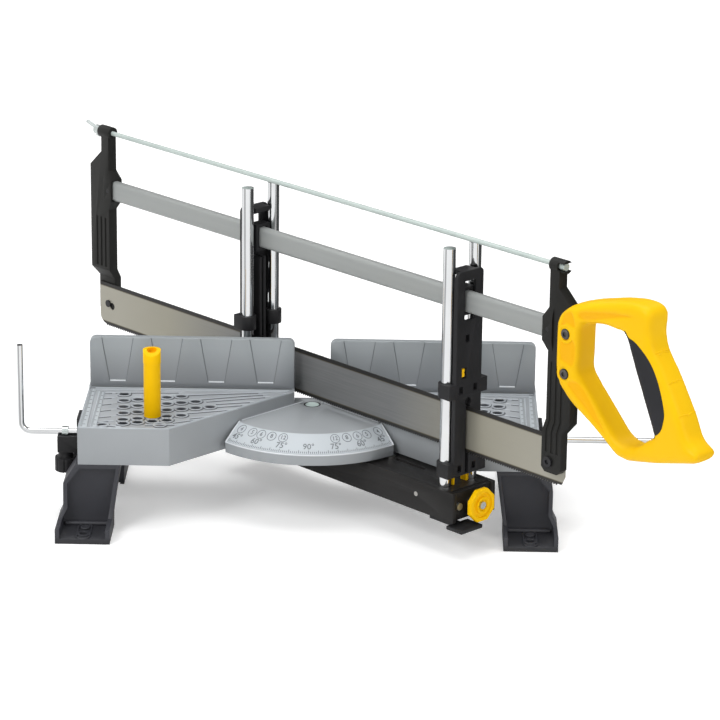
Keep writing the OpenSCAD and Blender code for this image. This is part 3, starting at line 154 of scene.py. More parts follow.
def make_band_group():
    """A mask that is 1 between two heights above the bench, in metres."""
    tree, given, result = shader_group(
        "height_band", [("Low", 0.0), ("High", 1.0), ("Softness", 0.001)], ["Mask"])
    coords = tree.nodes.new("ShaderNodeTexCoord")
    parts = tree.nodes.new("ShaderNodeSeparateXYZ")
    tree.links.new(coords.outputs["Object"], parts.inputs[0])
    sides = []
    for key, sign in (("Low", 1.0), ("High", -1.0)):
        gap = add_math(tree, "SUBTRACT", parts.outputs[2], given.outputs[key])
        gap = add_math(tree, "MULTIPLY", gap, sign)
        gap = add_math(tree, "DIVIDE", gap, given.outputs["Softness"])
        node = tree.nodes.new("ShaderNodeClamp")
        tree.links.new(gap, node.inputs[0])
        sides.append(node.outputs[0])
    tree.links.new(add_math(tree, "MULTIPLY", *sides), result.inputs["Mask"])
    return tree


GRAIN = make_grain_group()
DRAWN = make_drawn_group()
BAND = make_band_group()
REACH = make_reach_group()


def place_group(tree, group, **values):
    """Puts a shader group in a material, with its own values."""
    node = tree.nodes.new("ShaderNodeGroup")
    node.node_tree = group
    for key, value in values.items():
        node.inputs[key.replace("_", " ")].default_value = value
    return node


def blend_colour(tree, factor, a, b):
    """A colour between a and b. Each may be a colour or a socket."""
    node = tree.nodes.new("ShaderNodeMix")
    node.data_type = "RGBA"
    tree.links.new(factor, node.inputs["Factor"])
    for socket, value in zip((node.inputs[6], node.inputs[7]), (a, b)):
        if isinstance(value, tuple):
            socket.default_value = (*value, 1.0)
        else:
            tree.links.new(value, socket)
    return node.outputs[2]


def map_range(tree, value, low, high, to_low, to_high):
    """A value moved from one range to another."""
    node = tree.nodes.new("ShaderNodeMapRange")
    tree.links.new(value, node.inputs["Value"])
    for key, number in (("From Min", low), ("From Max", high), ("To Min", to_low), ("To Max", to_high)):
        node.inputs[key].default_value = number
    return node.outputs["Result"]


TONE_SPAN = (0.3, 0.7)                           # the part of the noise that its tones fill
DRAWN_FINISHES = ("blade_steel", "grey_tube")    # lined along the blade instead of grained


def new_finish(name, dark, light, rough, grain, bump, depth, metal=0.0, specular=0.5):
    """A material whose colour and roughness wander between two values, with a fine relief."""
    material = bpy.data.materials.new(name)
    material.use_nodes = True
    tree = material.node_tree
    shader = tree.nodes["Principled BSDF"]
    if name in DRAWN_FINISHES:
        pattern = place_group(tree, DRAWN, Scale=grain[0], Stretch=grain[1])
    else:
        pattern = place_group(tree, GRAIN, Scale=grain[0], Patch_Scale=grain[1])
    tone = pattern.outputs["Tone"]
    colour = blend_colour(tree, map_range(tree, tone, *TONE_SPAN, 0.0, 1.0), dark, light)
    tree.links.new(colour, shader.inputs["Base Color"])
    tree.links.new(map_range(tree, tone, *TONE_SPAN, *rough), shader.inputs["Roughness"])
    shader.inputs["Metallic"].default_value = metal
    shader.inputs["Specular IOR Level"].default_value = specular
    relief = tree.nodes.new("ShaderNodeBump")
    relief.inputs["Strength"].default_value = bump
    relief.inputs["Distance"].default_value = depth * MM
    tree.links.new(pattern.outputs["Height"], relief.inputs["Height"])
    tree.links.new(relief.outputs[0], shader.inputs["Normal"])
    return material


def paint_where(tree, mask, colour):
    """Paints a colour over a finish where a mask is 1."""
    base = tree.nodes["Principled BSDF"].inputs["Base Color"]
    tree.links.new(blend_colour(tree, mask, base.links[0].from_socket, colour), base)


def tint_over(material, group, colour, **values):
    """Paints a colour over a finish where a group's mask is 1."""
    tree = material.node_tree
    paint_where(tree, place_group(tree, group, **values).outputs["Mask"], colour)


def paint_recess_shade(material, colour):
    """Paints a colour over a finish where its mesh says that it is sunk, as painted shade in its recesses.
    """
    tree = material.node_tree
    sunk = tree.nodes.new("ShaderNodeAttribute")
    sunk.attribute_name = "recess"
    paint_where(tree, sunk.outputs["Fac"], colour)


# Each finish: its darkest and lightest colour, its least and most roughness, its grain as the scale of its
# relief and that of its patches of tone (on a drawn one, the scale and the stretch of its lines), how strong
# and how deep in millimetres the relief is, and where they aren't plain, how metallic and how specular it is
FINISHES = {
    "cast_alloy": ((0.33, 0.35, 0.366), (0.365, 0.386, 0.403), (0.48, 0.56), (1400, 14), 0.22, 0.08, 0.2),
    # the fence is a darker copy of the cast finish, as painted shade
    "fence_shaded_alloy": ((0.305, 0.33, 0.345), (0.335, 0.36, 0.375), (0.48, 0.56), (1400, 14), 0.22, 0.08, 0.2),
    "hub_zinc": ((0.62, 0.74, 0.71), (0.7, 0.82, 0.79), (0.4, 0.5), (1600, 60), 0.1, 0.1, 0.2),
    "rib_shadow_paint": ((0.085, 0.092, 0.1), (0.12, 0.128, 0.138), (0.6, 0.7), (1400, 50), 0.15, 0.1),
    "hole_shade_paint": ((0.085, 0.092, 0.104), (0.11, 0.118, 0.13), (0.5, 0.6), (1400, 50), 0.15, 0.1, 0.2),
    "foot_plastic": ((0.025, 0.026, 0.033), (0.033, 0.034, 0.042), (0.5, 0.6), (1500, 22), 0.3, 0.1),
    "sunk_floor_light_paint": ((0.339, 0.359, 0.382), (0.384, 0.405, 0.427), (0.52, 0.6), (1400, 30), 0.25, 0.1, 0.15),
    "rib_highlight_paint": ((0.39, 0.42, 0.45), (0.44, 0.47, 0.5), (0.42, 0.5), (1400, 30), 0.15, 0.06, 0.2),
    "scale_band": ((0.47, 0.51, 0.54), (0.51, 0.55, 0.58), (0.48, 0.56), (1600, 30), 0.15, 0.06, 0.15),
    "scale_figures": ((0.14, 0.155, 0.17), (0.19, 0.205, 0.22), (0.5, 0.6), (1600, 60), 0.1, 0.04, 0.1),
    "highlight_paint_edge": ((0.66, 0.69, 0.72), (0.72, 0.75, 0.78), (0.34, 0.44), (1400, 40), 0.12, 0.05, 0.2),
    "marks_and_groove_shade_paint": ((0.14, 0.15, 0.16), (0.18, 0.19, 0.2), (0.5, 0.6), (1400, 40), 0.1, 0.04, 0.1),
    "black_enamel": ((0.016, 0.0155, 0.015), (0.022, 0.021, 0.021),
                     (0.38, 0.46), (500, 25), 0.1, 0.1, 0, 0.2),
    "frame_black": ((0.014, 0.014, 0.013), (0.02, 0.02, 0.0185),
                    (0.44, 0.52), (1600, 25), 0.3, 0.08, 0, 0.2),
    "black_plastic": ((0.019, 0.019, 0.02), (0.026, 0.026, 0.028),
                      (0.44, 0.52), (1800, 22), 0.3, 0.08, 0, 0.2),
    "bright_chrome": ((0.66, 0.67, 0.68), (0.72, 0.73, 0.74), (0.06, 0.1), (300, 30), 0.02, 0.05, 1),
    "zinc_plate": ((0.5, 0.55, 0.54), (0.6, 0.64, 0.63), (0.24, 0.34), (900, 40), 0.05, 0.05, 0.9),
    "pale_rod": ((0.5, 0.57, 0.545), (0.56, 0.63, 0.6), (0.46, 0.54), (900, 40), 0.05, 0.05, 0.4),
    "plain_steel": ((0.4, 0.39, 0.37), (0.48, 0.47, 0.45), (0.28, 0.38), (900, 40), 0.08, 0.05, 1),
    "blade_steel": ((0.185, 0.19, 0.193), (0.225, 0.228, 0.228), (0.36, 0.44), (22, 60), 0.08, 0.03, 0.4),
    "black_oxide": ((0.022, 0.022, 0.024), (0.032, 0.032, 0.034),
                    (0.35, 0.45), (1200, 60), 0.1, 0.05, 0.2, 0.3),
    "burnt_steel": ((0.09, 0.085, 0.08), (0.13, 0.122, 0.115), (0.3, 0.4), (1200, 60), 0.1, 0.05, 0.6),
    "grey_tube": ((0.33, 0.345, 0.34), (0.36, 0.375, 0.367), (0.42, 0.5), (9, 22), 0.04, 0.03, 0.25),
    "yellow_plastic": ((0.92, 0.51, 0.0004), (0.98, 0.575, 0.001),
                       (0.36, 0.44), (1500, 12), 0.12, 0.06, 0, 0.09),
    "soft_grip": ((0.02, 0.02, 0.023), (0.028, 0.028, 0.032), (0.6, 0.72), (2600, 30), 0.4, 0.1, 0, 0.2),
    "handle_yellow": ((0.92, 0.52, 0.0004), (0.98, 0.585, 0.001),
                      (0.36, 0.44), (1500, 12), 0.12, 0.06, 0, 0.16),
}
FINISH = {name: new_finish(name, *looks) for name, looks in FINISHES.items()}
# painted shade: the handle's sunk panels turn a deeper orange
paint_recess_shade(FINISH["handle_yellow"], (0.93, 0.465, 0.0))

# Painted shade, by height above the bench in metres: darker toes on the feet, and a darker foot on the fence
tint_over(FINISH["foot_plastic"], BAND, (0.015, 0.0155, 0.019), Low=-1.0, High=0.006, Softness=0.003)
# painted shade: the fence darkens towards its foot, under the table's edge
tint_over(FINISH["fence_shaded_alloy"], BAND, (0.235, 0.25, 0.265), Low=-1.0, High=0.122, Softness=0.03)

# The blade is painted lighter and yellower towards its ends and stays darker in its middle, as painted
# light, and its teeth and top edge are burnt brown, then black
BLADE_MIDDLE = SAW_OFFSET * MM - PIVOT.y * DIAGONAL
for light_paint_tone, near, far in (((0.33, 0.315, 0.255), 0.09, 0.19), ((0.37, 0.355, 0.3), 0.19, 0.26)):
    tint_over(FINISH["blade_steel"], REACH, light_paint_tone, Middle=BLADE_MIDDLE, Near=near, Far=far)
for burnt, low, high, soft in (((0.09, 0.075, 0.045), 0.0851, 0.1162, 0.0008),
                               ((0.024, 0.023, 0.022), 0.0842, 0.117, 0.0004)):
    tint_over(FINISH["blade_steel"], BAND, burnt, Low=0.0, High=low, Softness=soft)
    tint_over(FINISH["blade_steel"], BAND, burnt, Low=high, High=1.0, Softness=soft)

SLOT = {entry["node"]: entry["material_slot"] for entry in frame["record"]["subparts"]}
NODE_FINISH = dict(SLOT, blade="blade_steel", tension_rod="pale_rod", front_frame_arm="frame_black",
                   rear_frame_arm="frame_black", left_fence="fence_shaded_alloy", right_fence="fence_shaded_alloy",
                   left_foot="foot_plastic", right_foot="foot_plastic")
NODE_BODY = {node: body for body, nodes in frame["record"]["behaviour"]["bodies"].items() for node in nodes}

for name, node in frame["nodes"].items():
    node.data.materials.clear()
    node.data.materials.append(FINISH[NODE_FINISH[name]])

# Making and placing pieces


def add_object(name, data):
    """An object of a mesh, curve, light or camera, in the scene."""
    thing = bpy.data.objects.new(name, data)
    bpy.context.scene.collection.objects.link(thing)
    return thing


def new_piece(name, shape, finish):
    """An object of a bmesh shape, in one finish."""
    piece = add_object(name, mesh_of(shape, name))
    piece.data.materials.append(FINISH[finish])
    return piece


def evaluated_mesh(thing):
    """The plain mesh of an object with its modifiers, or of a text."""
    bpy.context.view_layer.update()
    return bpy.data.meshes.new_from_object(thing.evaluated_get(bpy.context.evaluated_depsgraph_get()))


def settle(piece, angle):
    """Turns a piece's modifiers into its mesh and smooths it up to an angle."""
    mesh = evaluated_mesh(piece)
    piece.modifiers.clear()
    piece.data = mesh
    mesh.polygons.foreach_set("use_smooth", [True] * len(mesh.polygons))
    mesh.set_sharp_from_angle(angle=math.radians(angle))


def fit_on(piece, body):
    """Hands a finished piece to the body that carries it."""
    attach(piece, body)
    return piece


def merged_copy(*names):
    """The joined shape of CAD nodes, as closed flat faces."""
    shape = bmesh.new()
    for name in names:
        shape.from_mesh(frame["nodes"][name].data)
    bmesh.ops.remove_doubles(shape, verts=shape.verts, dist=2e-6)
    bmesh.ops.dissolve_limit(shape, angle_limit=math.radians(1.0), verts=shape.verts, edges=shape.edges)
    return shape


def mesh_of(shape, name):
    """A mesh of a bmesh shape, which is then freed."""
    mesh = bpy.data.meshes.new(name)
    shape.to_mesh(mesh)
    shape.free()
    return mesh


def skin_rows(shape, rows, caps=True):
    """Faces round each pair of rows of points, and over the two ends. Returns them."""
    count = len(rows[0])
    faces = []
    for low, high in zip(rows, rows[1:]):
        for k in range(count):
            faces.append(shape.faces.new((low[k], low[(k + 1) % count], high[(k + 1) % count], high[k])))
    if caps:
        faces += [shape.faces.new(rows[0]), shape.faces.new(rows[-1])]
    return faces


def turned_shape(profile, centre, along, across, steps=32, ring_shaped=False):
    """A closed turned solid, or a ring. The profile gives radius and height pairs, in millimetres."""
    side = along.cross(across)
    turns = [2 * math.pi * k / steps for k in range(steps)]
    shape = bmesh.new()
    rings = []
    for radius, height in profile:
        middle = centre + along * height * MM
        rings.append([shape.verts.new(middle + (across * math.cos(a) + side * math.sin(a)) * radius * MM)
                      for a in turns])
    skin_rows(shape, rings + rings[:1] if ring_shaped else rings, caps=not ring_shaped)
    bmesh.ops.recalc_face_normals(shape, faces=shape.faces)
    return shape


def prism_shape(outlines, low, high, at):
    """Closed blocks cut to outlines, from one level to another. at(a, b, level) places their points."""
    shape = bmesh.new()
    for outline in outlines:
        skin_rows(shape, [[shape.verts.new(at(a, b, level)) for a, b in outline] for level in (low, high)])
    bmesh.ops.recalc_face_normals(shape, faces=shape.faces)
    return shape


def at_side(x, z, y):
    """A point of the saw's frame, from its side view and then its place across."""
    return at_saw(x, y, z)


def cut_away(piece, cutters, operation="DIFFERENCE"):
    """Cuts shapes out of a piece, or keeps only what is inside them."""
    for shape in cutters:
        tool = add_object("cutter", mesh_of(shape, "cutter"))
        cut = piece.modifiers.new("cut", "BOOLEAN")
        cut.operation = operation
        cut.solver = "EXACT"
        cut.object = tool
        mesh = evaluated_mesh(piece)
        piece.modifiers.clear()
        piece.data = mesh
        bpy.data.objects.remove(tool)


def ease_edges(piece, width, segments=2, angle=30.0):
    """Rounds the edges of a piece that are sharper than an angle."""
    bevel = piece.modifiers.new("edges", "BEVEL")
    bevel.width = width * MM
    bevel.segments = segments
    bevel.limit_method = "ANGLE"
    bevel.angle_limit = math.radians(angle)
    bevel.use_clamp_overlap = True


def round_node(name, width, segments=2, angle=32.0, lower=0.0, cutters=(), shrink=None):
    """A copy of a CAD node with its edges rounded, which stands for it.

    lower sinks the top of a table. shrink gives a centre and the shares of the size that stay across the arm
    and along it.
    """
    shape = merged_copy(name)
    if shrink:
        centre, width_share, depth_share = shrink
        for vertex in shape.verts:
            off = vertex.co - centre
            level = FORWARD * off.dot(FORWARD)
            vertex.co = centre + level * depth_share + (off - level) * width_share
    if lower:
        for vertex in shape.verts:
            if abs(vertex.co.z - PIVOT.z) < 1e-5:
                vertex.co.z -= lower * MM
    piece = new_piece(name + "_finished", shape, NODE_FINISH[name])
    cut_away(piece, cutters)
    ease_edges(piece, width, segments, angle)
    settle(piece, 38.0)
    fit_on(piece, NODE_BODY[name])
    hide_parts(name)
    return piece


def make_rib_tree():
    """Rounded ribs that follow the edges of a mesh."""
    tree = bpy.data.node_groups.new("raised_ribs", "GeometryNodeTree")
    for label, kind in (("Runs", "Geometry"), ("Rib Radius", "Float"), ("Sides", "Int"),
                        ("Finish", "Material")):
        tree.interface.new_socket(name=label, in_out="INPUT", socket_type="NodeSocket" + kind)
    tree.interface.new_socket(name="Ribs", in_out="OUTPUT", socket_type="NodeSocketGeometry")
    given, result = tree.nodes.new("NodeGroupInput"), tree.nodes.new("NodeGroupOutput")
    lines = tree.nodes.new("GeometryNodeMeshToCurve")
    profile = tree.nodes.new("GeometryNodeCurvePrimitiveCircle")
    sweep = tree.nodes.new("GeometryNodeCurveToMesh")
    real = tree.nodes.new("GeometryNodeRealizeInstances")
    paint = tree.nodes.new("GeometryNodeSetMaterial")
    sweep.inputs["Fill Caps"].default_value = True
    for source, target in (
        (given.outputs["Runs"], lines.inputs["Mesh"]), (lines.outputs[0], sweep.inputs["Curve"]),
        (given.outputs["Rib Radius"], profile.inputs["Radius"]),
        (given.outputs["Sides"], profile.inputs["Resolution"]),
        (profile.outputs[0], sweep.inputs["Profile Curve"]), (sweep.outputs[0], real.inputs[0]),
        (real.outputs[0], paint.inputs["Geometry"]), (given.outputs["Finish"], paint.inputs["Material"]),
        (paint.outputs[0], result.inputs["Ribs"]),
    ):
        tree.links.new(source, target)
    return tree


RIBS = make_rib_tree()
RIB_INPUT = {item.name: item.identifier for item in RIBS.interface.items_tree if item.in_out == "INPUT"}


def lay_ribs(name, runs, radius, finish, body, sides=8):
    """Rounded ribs along runs of points. A run that ends where it starts is a closed one."""
    shape = bmesh.new()
    for run in runs:
        closed = (run[0] - run[-1]).length < 1e-7
        points = [shape.verts.new(p) for p in (run[:-1] if closed else run)]
        for a, b in zip(points, points[1:] + (points[:1] if closed else [])):
            shape.edges.new((a, b))
    piece = new_piece(name, shape, finish)
    ribs = piece.modifiers.new("ribs", "NODES")
    ribs.node_group = RIBS
    ribs[RIB_INPUT["Rib Radius"]] = radius * MM
    ribs[RIB_INPUT["Sides"]] = sides
    ribs[RIB_INPUT["Finish"]] = FINISH[finish]
    settle(piece, 50.0)
    return fit_on(piece, body)


def ring_run(centre, across, along, radius, steps=20):
    """A closed run of points round a centre."""
    turns = [2 * math.pi * k / steps for k in range(steps + 1)]
    run = [centre + (across * math.cos(a) + along * math.sin(a)) * radius * MM for a in turns]
    run[-1] = run[0].copy()
    return run


def socket_head(name, centre, along, across, radius, height, socket, finish, body):
    """A screw head with a turned edge and a six-sided socket, whose wall and floor are painted near black as
    shade.
    """
    side = along.cross(across)
    steps = 24
    edge = 0.4
    shape = bmesh.new()
    rings = []
    for sides, size, level in (("round", radius, -edge), ("round", radius, height - edge),
                               ("round", radius - edge, height), ("round", socket * 1.3, height),
                               ("six", socket, height - 0.2), ("six", socket, height - 1.4)):
        ring = []
        for k in range(steps):
            a = 2 * math.pi * k / steps
            flat = math.cos(math.pi / 6) / math.cos(a % (math.pi / 3) - math.pi / 6)
            reach = size if sides == "round" else size * flat
            ring.append(shape.verts.new(
                centre + along * level * MM + (across * math.cos(a) + side * math.sin(a)) * reach * MM))
        rings.append(ring)
    faces = skin_rows(shape, rings)
    # painted shade on the socket's wall and floor
    for face in faces[4 * steps:5 * steps] + faces[-1:]:    # the socket's wall and floor
        face.material_index = 1
    bmesh.ops.recalc_face_normals(shape, faces=shape.faces)
    piece = new_piece(name, shape, finish)
    piece.data.materials.append(FINISH["black_oxide"])
    settle(piece, 35.0)
    return fit_on(piece, body)


def turned_piece(name, profile, centre, along, across, finish, body, steps=32, ring_shaped=False):
    """A turned piece that rides on a body."""
    piece = new_piece(name, turned_shape(profile, centre, along, across, steps, ring_shaped), finish)
    settle(piece, 35.0)
    return fit_on(piece, body)


# Rounded copies of the castings and mouldings

ROUNDED = {
    "left_fence": 0.7, "right_fence": 0.7, "front_guide": 1.0, "rear_guide": 1.0,
    "front_frame_arm": 0.8, "rear_frame_arm": 0.8, "swing_arm": 0.7, "left_foot": 1.6, "right_foot": 1.6,
    "left_rod_bracket": 2.6, "right_rod_bracket": 2.6, "left_clamp_knob": 2.0, "right_clamp_knob": 2.0,
    "cam_peg": 0.35, "index_lever": 0.8, "arm_end_plate": 0.6, "lift_latch": 0.8, "depth_stops": 0.5,
}
for name, width in ROUNDED.items():
    round_node(name, width)


def soft_spine():
    """The saw's back as a tube with well rounded corners, as long, wide and high as its CAD node."""
    origin = at_saw(0, 0, 0)
    places = [vertex.co - origin for vertex in frame["nodes"]["spine_tube"].data.vertices]
    (start, end), (near, far), (low, high) = (
        (min(p.dot(way) for p in places), max(p.dot(way) for p in places)) for way in (FORWARD, ACROSS, UP))
    corner = 0.82 * (far - near) / 2
    corner_steps = 8
    shape = bmesh.new()
    rows = []
    for reach in (start, (start + end) / 2, end):
        row = []
        for quarter, (y, z) in enumerate(((far, high), (near, high), (near, low), (far, low))):
            y += corner if y == near else -corner
            z += corner if z == low else -corner
            for k in range(corner_steps + 1):
                turn = math.pi / 2 * (quarter + k / corner_steps)
                across = ACROSS * (y + corner * math.cos(turn))
                row.append(shape.verts.new(
                    origin + FORWARD * reach + across + UP * (z + corner * math.sin(turn))))
        rows.append(row)
    skin_rows(shape, rows)
    bmesh.ops.recalc_face_normals(shape, faces=shape.faces)
    spine = new_piece("spine_finished", shape, "grey_tube")
    settle(spine, 50.0)
    fit_on(spine, "saw")
    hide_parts("spine_tube")


soft_spine()

# The two tables, with their floors a little sunk round the cast relief

# Peg holes of the right table: the first one, the way to the next column and to the next hole of a column
FIRST_HOLE, NEXT_COLUMN, NEXT_HOLE = (155.3, -17.7), (-11.6, 3.1), (-1.1, -15.6)
LONE_HOLES = [(166.7, -93.8), (120.3, -91.8)]
FULL_COLUMN = (1, 2, 3, 4, 4.6)
HOLE_COLUMNS = [(0, *FULL_COLUMN), FULL_COLUMN, FULL_COLUMN, FULL_COLUMN, (1, 2, 3, 4), (2, 3), (3,)]


def hole_places():
    """Places of the peg holes of the right table, in millimetres."""
    places = [tuple(first + column * c + step * s
                    for first, column, step in zip(FIRST_HOLE, NEXT_COLUMN, NEXT_HOLE))
              for c, steps in enumerate(HOLE_COLUMNS) for s in steps]
    return places + LONE_HOLES


RELIEF = 0.9
HOLE_REACH = 4.8
for name, side in (("left_table", -1), ("right_table", 1)):
    table = round_node(name, 0.5, lower=RELIEF)
    table.data.materials.append(FINISH["sunk_floor_light_paint"])
    table.data.materials.append(FINISH["hole_shade_paint"])
    middles = [at_table(side * x, y, 0) for x, y in hole_places()]
    for face in table.data.polygons:
        spot = face.center
        gap = min(math.hypot(spot.x - m.x, spot.y - m.y) for m in middles)
        # painted light: the sunk top faces are a lighter copy of the cast finish
        if face.normal.z > 0.9 and abs(spot.z - PIVOT.z + RELIEF * MM) < 1e-4:
            face.material_index = 1
        # painted shade: the walls of the peg holes are near black
        elif abs(face.normal.z) < 0.5 and gap < HOLE_REACH * MM:
            face.material_index = 2

# Feet: the bosses of the bench screws on the toes, and a rounded foot to the legs


def at_foot(side, x, y, z):
    """A point of the left (-1) or right (1) foot, in millimetres from the middle of the bench face."""
    return Vector((side * x, y, z)) * MM


BOSS_X, BOSS_ENDS, BOSS_RADIUS = 180, ((-63.5, 1), (-85, -1)), 5.4
BOSS_DISC = ((4.2, -0.5), (4.2, 1.2), (3.7, 1.6), (2.1, 1.6), (1.9, 1.2), (0.4, 1.2))
for label, side in (("left", -1), ("right", 1)):
    rim = []
    for y, way in BOSS_ENDS[::-1]:
        for k in range(25):
            a = math.pi * k / 24
            rim.append(at_foot(side, BOSS_X + way * BOSS_RADIUS * math.cos(a),
                               y + way * BOSS_RADIUS * math.sin(a), 4.2))
    rim.append(rim[0].copy())
    lay_ribs(label + "_boss_rim", [rim], 0.9, "foot_plastic", "bed")
    turned_piece(label + "_boss_disc", BOSS_DISC, at_foot(side, BOSS_X, -66, 4), UP, EAST, "foot_plastic",
                 "bed")
    fillet = [at_foot(side, x, -57.6, 5.0) for x in (160.5, 170, 180, 190, 196.5)]
    lay_ribs(label + "_foot_fillet", [fillet], 2.2, "foot_plastic", "bed")

# Cast relief on the two tables

# Ribs of one table, in millimetres: from the ruler to the holes, and from the holes to the corner
TABLE_RIBS = [
    [(171, -16), (161, -14.5)], [(171, -29), (160.5, -26)], [(171, -44.5), (159.5, -40.5)],
    [(171, -60), (158.5, -55)], [(171, -76), (157, -71)], [(171, -87), (158, -83.5)],
    [(171, -99), (163, -95), (151, -98)],
    [(171, -14.5), (106, -11)], [(104, -18), (77, -13), (40, -8)], [(92, -28), (60, -18), (36, -12)],
    [(86, -33), (56, -24), (34, -18)], [(78, -38.5), (46, -31)], [(77, -46), (52, -39)],
    [(78, -56), (60, -50)], [(100, -62.5), (68, -53)], [(97, -75), (80, -69)], [(110, -86), (88, -76)],
    [(132, -93), (104, -90)],
]
# The rib along the edges of the table, and the two along the fence
OTHER_RIBS = [[(185.1, 18), (185.2, -101.2), (113.4, -101.2), (22, -10.5)], [(184, -2.4), (19, -2.4)],
              [(184, -6.8), (21, -5.2)]]
RIB_LEVEL, MARK_LEVEL = -0.8, -0.05
# Ruler marks start at these distances from the middle. The inner ruler's are shorter and start later
OUTER_MARKS, INNER_MARKS, MARK_PITCH = 184.4, 175.6, 2.5


def table_runs(side):
    """Runs on one table: its ribs, the rings round the holes, the ruler marks, and dark strips of painted
    shadow along the front of the ribs and rings.
    """
    ribs = [[at_table(side * x, y, RIB_LEVEL) for x, y in run] for run in TABLE_RIBS + OTHER_RIBS]
    rings = [ring_run(at_table(side * x, y, RIB_LEVEL), EAST, NORTH, 5.0) for x, y in hole_places()]
    # painted shadow: dark strips just in front of each rib, and round the front of each hole ring
    shadow_runs = [[point + Vector((0, -1.05, -0.12)) * MM for point in run] for run in ribs[:len(TABLE_RIBS)]]
    for run in shadow_runs:
        run[-1] += (run[-2] - run[-1]).normalized() * 4.5 * MM
    for ring in rings:
        middle = (ring[0] + ring[10]) / 2
        shadow_runs.append([middle + (ring[k % 20] - middle) * 1.22 - UP * 0.12 * MM for k in range(12, 22)])
    marks = []
    for k in range(39):
        y = -4 - MARK_PITCH * k
        long = 4.2 if k % 4 == 0 else 2.2
        for start, share, first in ((OUTER_MARKS, 1.0, 0), (INNER_MARKS, 0.8, 4)):
            if k >= first:
                marks.append([at_table(side * x, y, MARK_LEVEL) for x in (start, start - long * share)])
    return ribs, rings, marks, shadow_runs


def flat_plates(name, outlines, low, high, finish, body, edge=0.3):
    """Low plates cut to outlines in plan, in the table's frame, with eased edges."""
    piece = new_piece(name, prism_shape(outlines, low, high, at_table), finish)
    ease_edges(piece, edge)
    settle(piece, 40.0)
    return fit_on(piece, body)


for label, side in (("left", -1), ("right", 1)):
    plates = [[(179.9, -8), (184.9, -8), (184.9, -100.6), (178.5, -100.6)],
              [(172, -12), (177.1, -12), (175.9, -100.6), (170.9, -100.6)]]
    flat_plates(label + "_rulers", [[(side * x, y) for x, y in plate] for plate in plates], -1.4, -0.1,
                "scale_band", "bed")
    ribs, rings, marks, shadow_runs = table_runs(side)
    # painted shadow beside the ribs and rings
    lay_ribs(label + "_rib_shadow_strips", shadow_runs, 0.55, "rib_shadow_paint", "bed")
    # painted highlight: the ribs and hole rings are lighter than the cast finish
    lay_ribs(label + "_table_ribs", ribs, 0.85, "rib_highlight_paint", "bed")
    lay_ribs(label + "_hole_rings", rings, 0.82, "rib_highlight_paint", "bed")
    lay_ribs(label + "_ruler_marks", marks, 0.26, "marks_and_groove_shade_paint", "bed", sides=6)

# Fence: painted shade along the outlines of its recesses and along its seam with the table, and painted
# highlights on the feet of the recesses

RECESS_PITCH, RECESS_FOOT, RECESS_TOP = 41, 7.2, 13.2
for label, side in (("left", -1), ("right", 1)):
    lines, ledges = [], []
    for k in range(4):
        x = 39 + RECESS_PITCH * k
        for way in (-1, 1):
            lines.append([at_table(side * (x + way * RECESS_FOOT), 1.0, 5.2),
                          at_table(side * (x + way * RECESS_TOP), 1.0, 42.3)])
        ledges.append([at_table(side * (x - 6.4), 0.75, 5.0), at_table(side * (x + 6.4), 0.75, 5.0)])
    lines.append([at_table(side * 17, -0.15, 0.5), at_table(side * 184, -0.15, 0.5)])
    # painted shade in the recess grooves and in the seam
    lay_ribs(label + "_fence_groove_shade", lines, 0.42, "marks_and_groove_shade_paint", "bed")
    # painted highlight on the feet of the recesses
    lay_ribs(label + "_fence_ledges", ledges, 0.8, "highlight_paint_edge", "bed")

# Scale of the quadrant

FLAT_R, RIM_R, FLAT_Z, RIM_Z = 76.0, 96.0, -11.3, -23.6
CONE = math.atan2(FLAT_Z - RIM_Z, RIM_R - FLAT_R)
BAND_PROUD = 0.14


def on_scale(angle, radius, proud=0.0):
    """A point on the quadrant's sloping band, from the angle off its middle and the radius."""
    out = Vector((math.sin(angle), -math.cos(angle), 0))
    z = FLAT_Z - (radius - FLAT_R) * math.tan(CONE)
    normal = out * math.sin(CONE) + UP * math.cos(CONE)
    return at_table(out.x * radius, out.y * radius, z) + normal * proud * MM


def end_angle(radius):
    """Angle off the middle at which the quadrant ends, by radius, in radians."""
    return math.radians(45.8 + (RIM_R - radius) * 0.2)


# A round recess for the pivot, and the ends of the CAD quadrant cut back to the photo's slant
recess_profile = ((7.2, -14.9), (7.2, -12.9), (12.4, -11.1), (12.4, -9.0))
cutters = [turned_shape(recess_profile, PIVOT, UP, EAST, steps=48)]
BEYOND = math.radians(58)
for way in (-1, 1):
    corner = [(72, end_angle(72)), (99, end_angle(99)), (99, BEYOND), (72, BEYOND)]
    outline = [(way * r * math.sin(a), -r * math.cos(a)) for r, a in corner]
    cutters.append(prism_shape([outline], -36, -5, at_table))
round_node("quadrant_plate", 0.6, cutters=cutters)
cap_profile = ((5.7, -14.4), (5.7, -13.0), (5.3, -12.7), (0.8, -12.65))
turned_piece("pivot_cap", cap_profile, PIVOT, UP, EAST, "hub_zinc", "bed")
ring_profile = ((7.15, -14.4), (7.15, -12.95), (6.9, -12.8), (6.0, -12.85), (5.72, -13.1), (5.72, -14.4))
turned_piece("pivot_ring", ring_profile, PIVOT, UP, EAST, "black_plastic", "bed",
             ring_shaped=True)


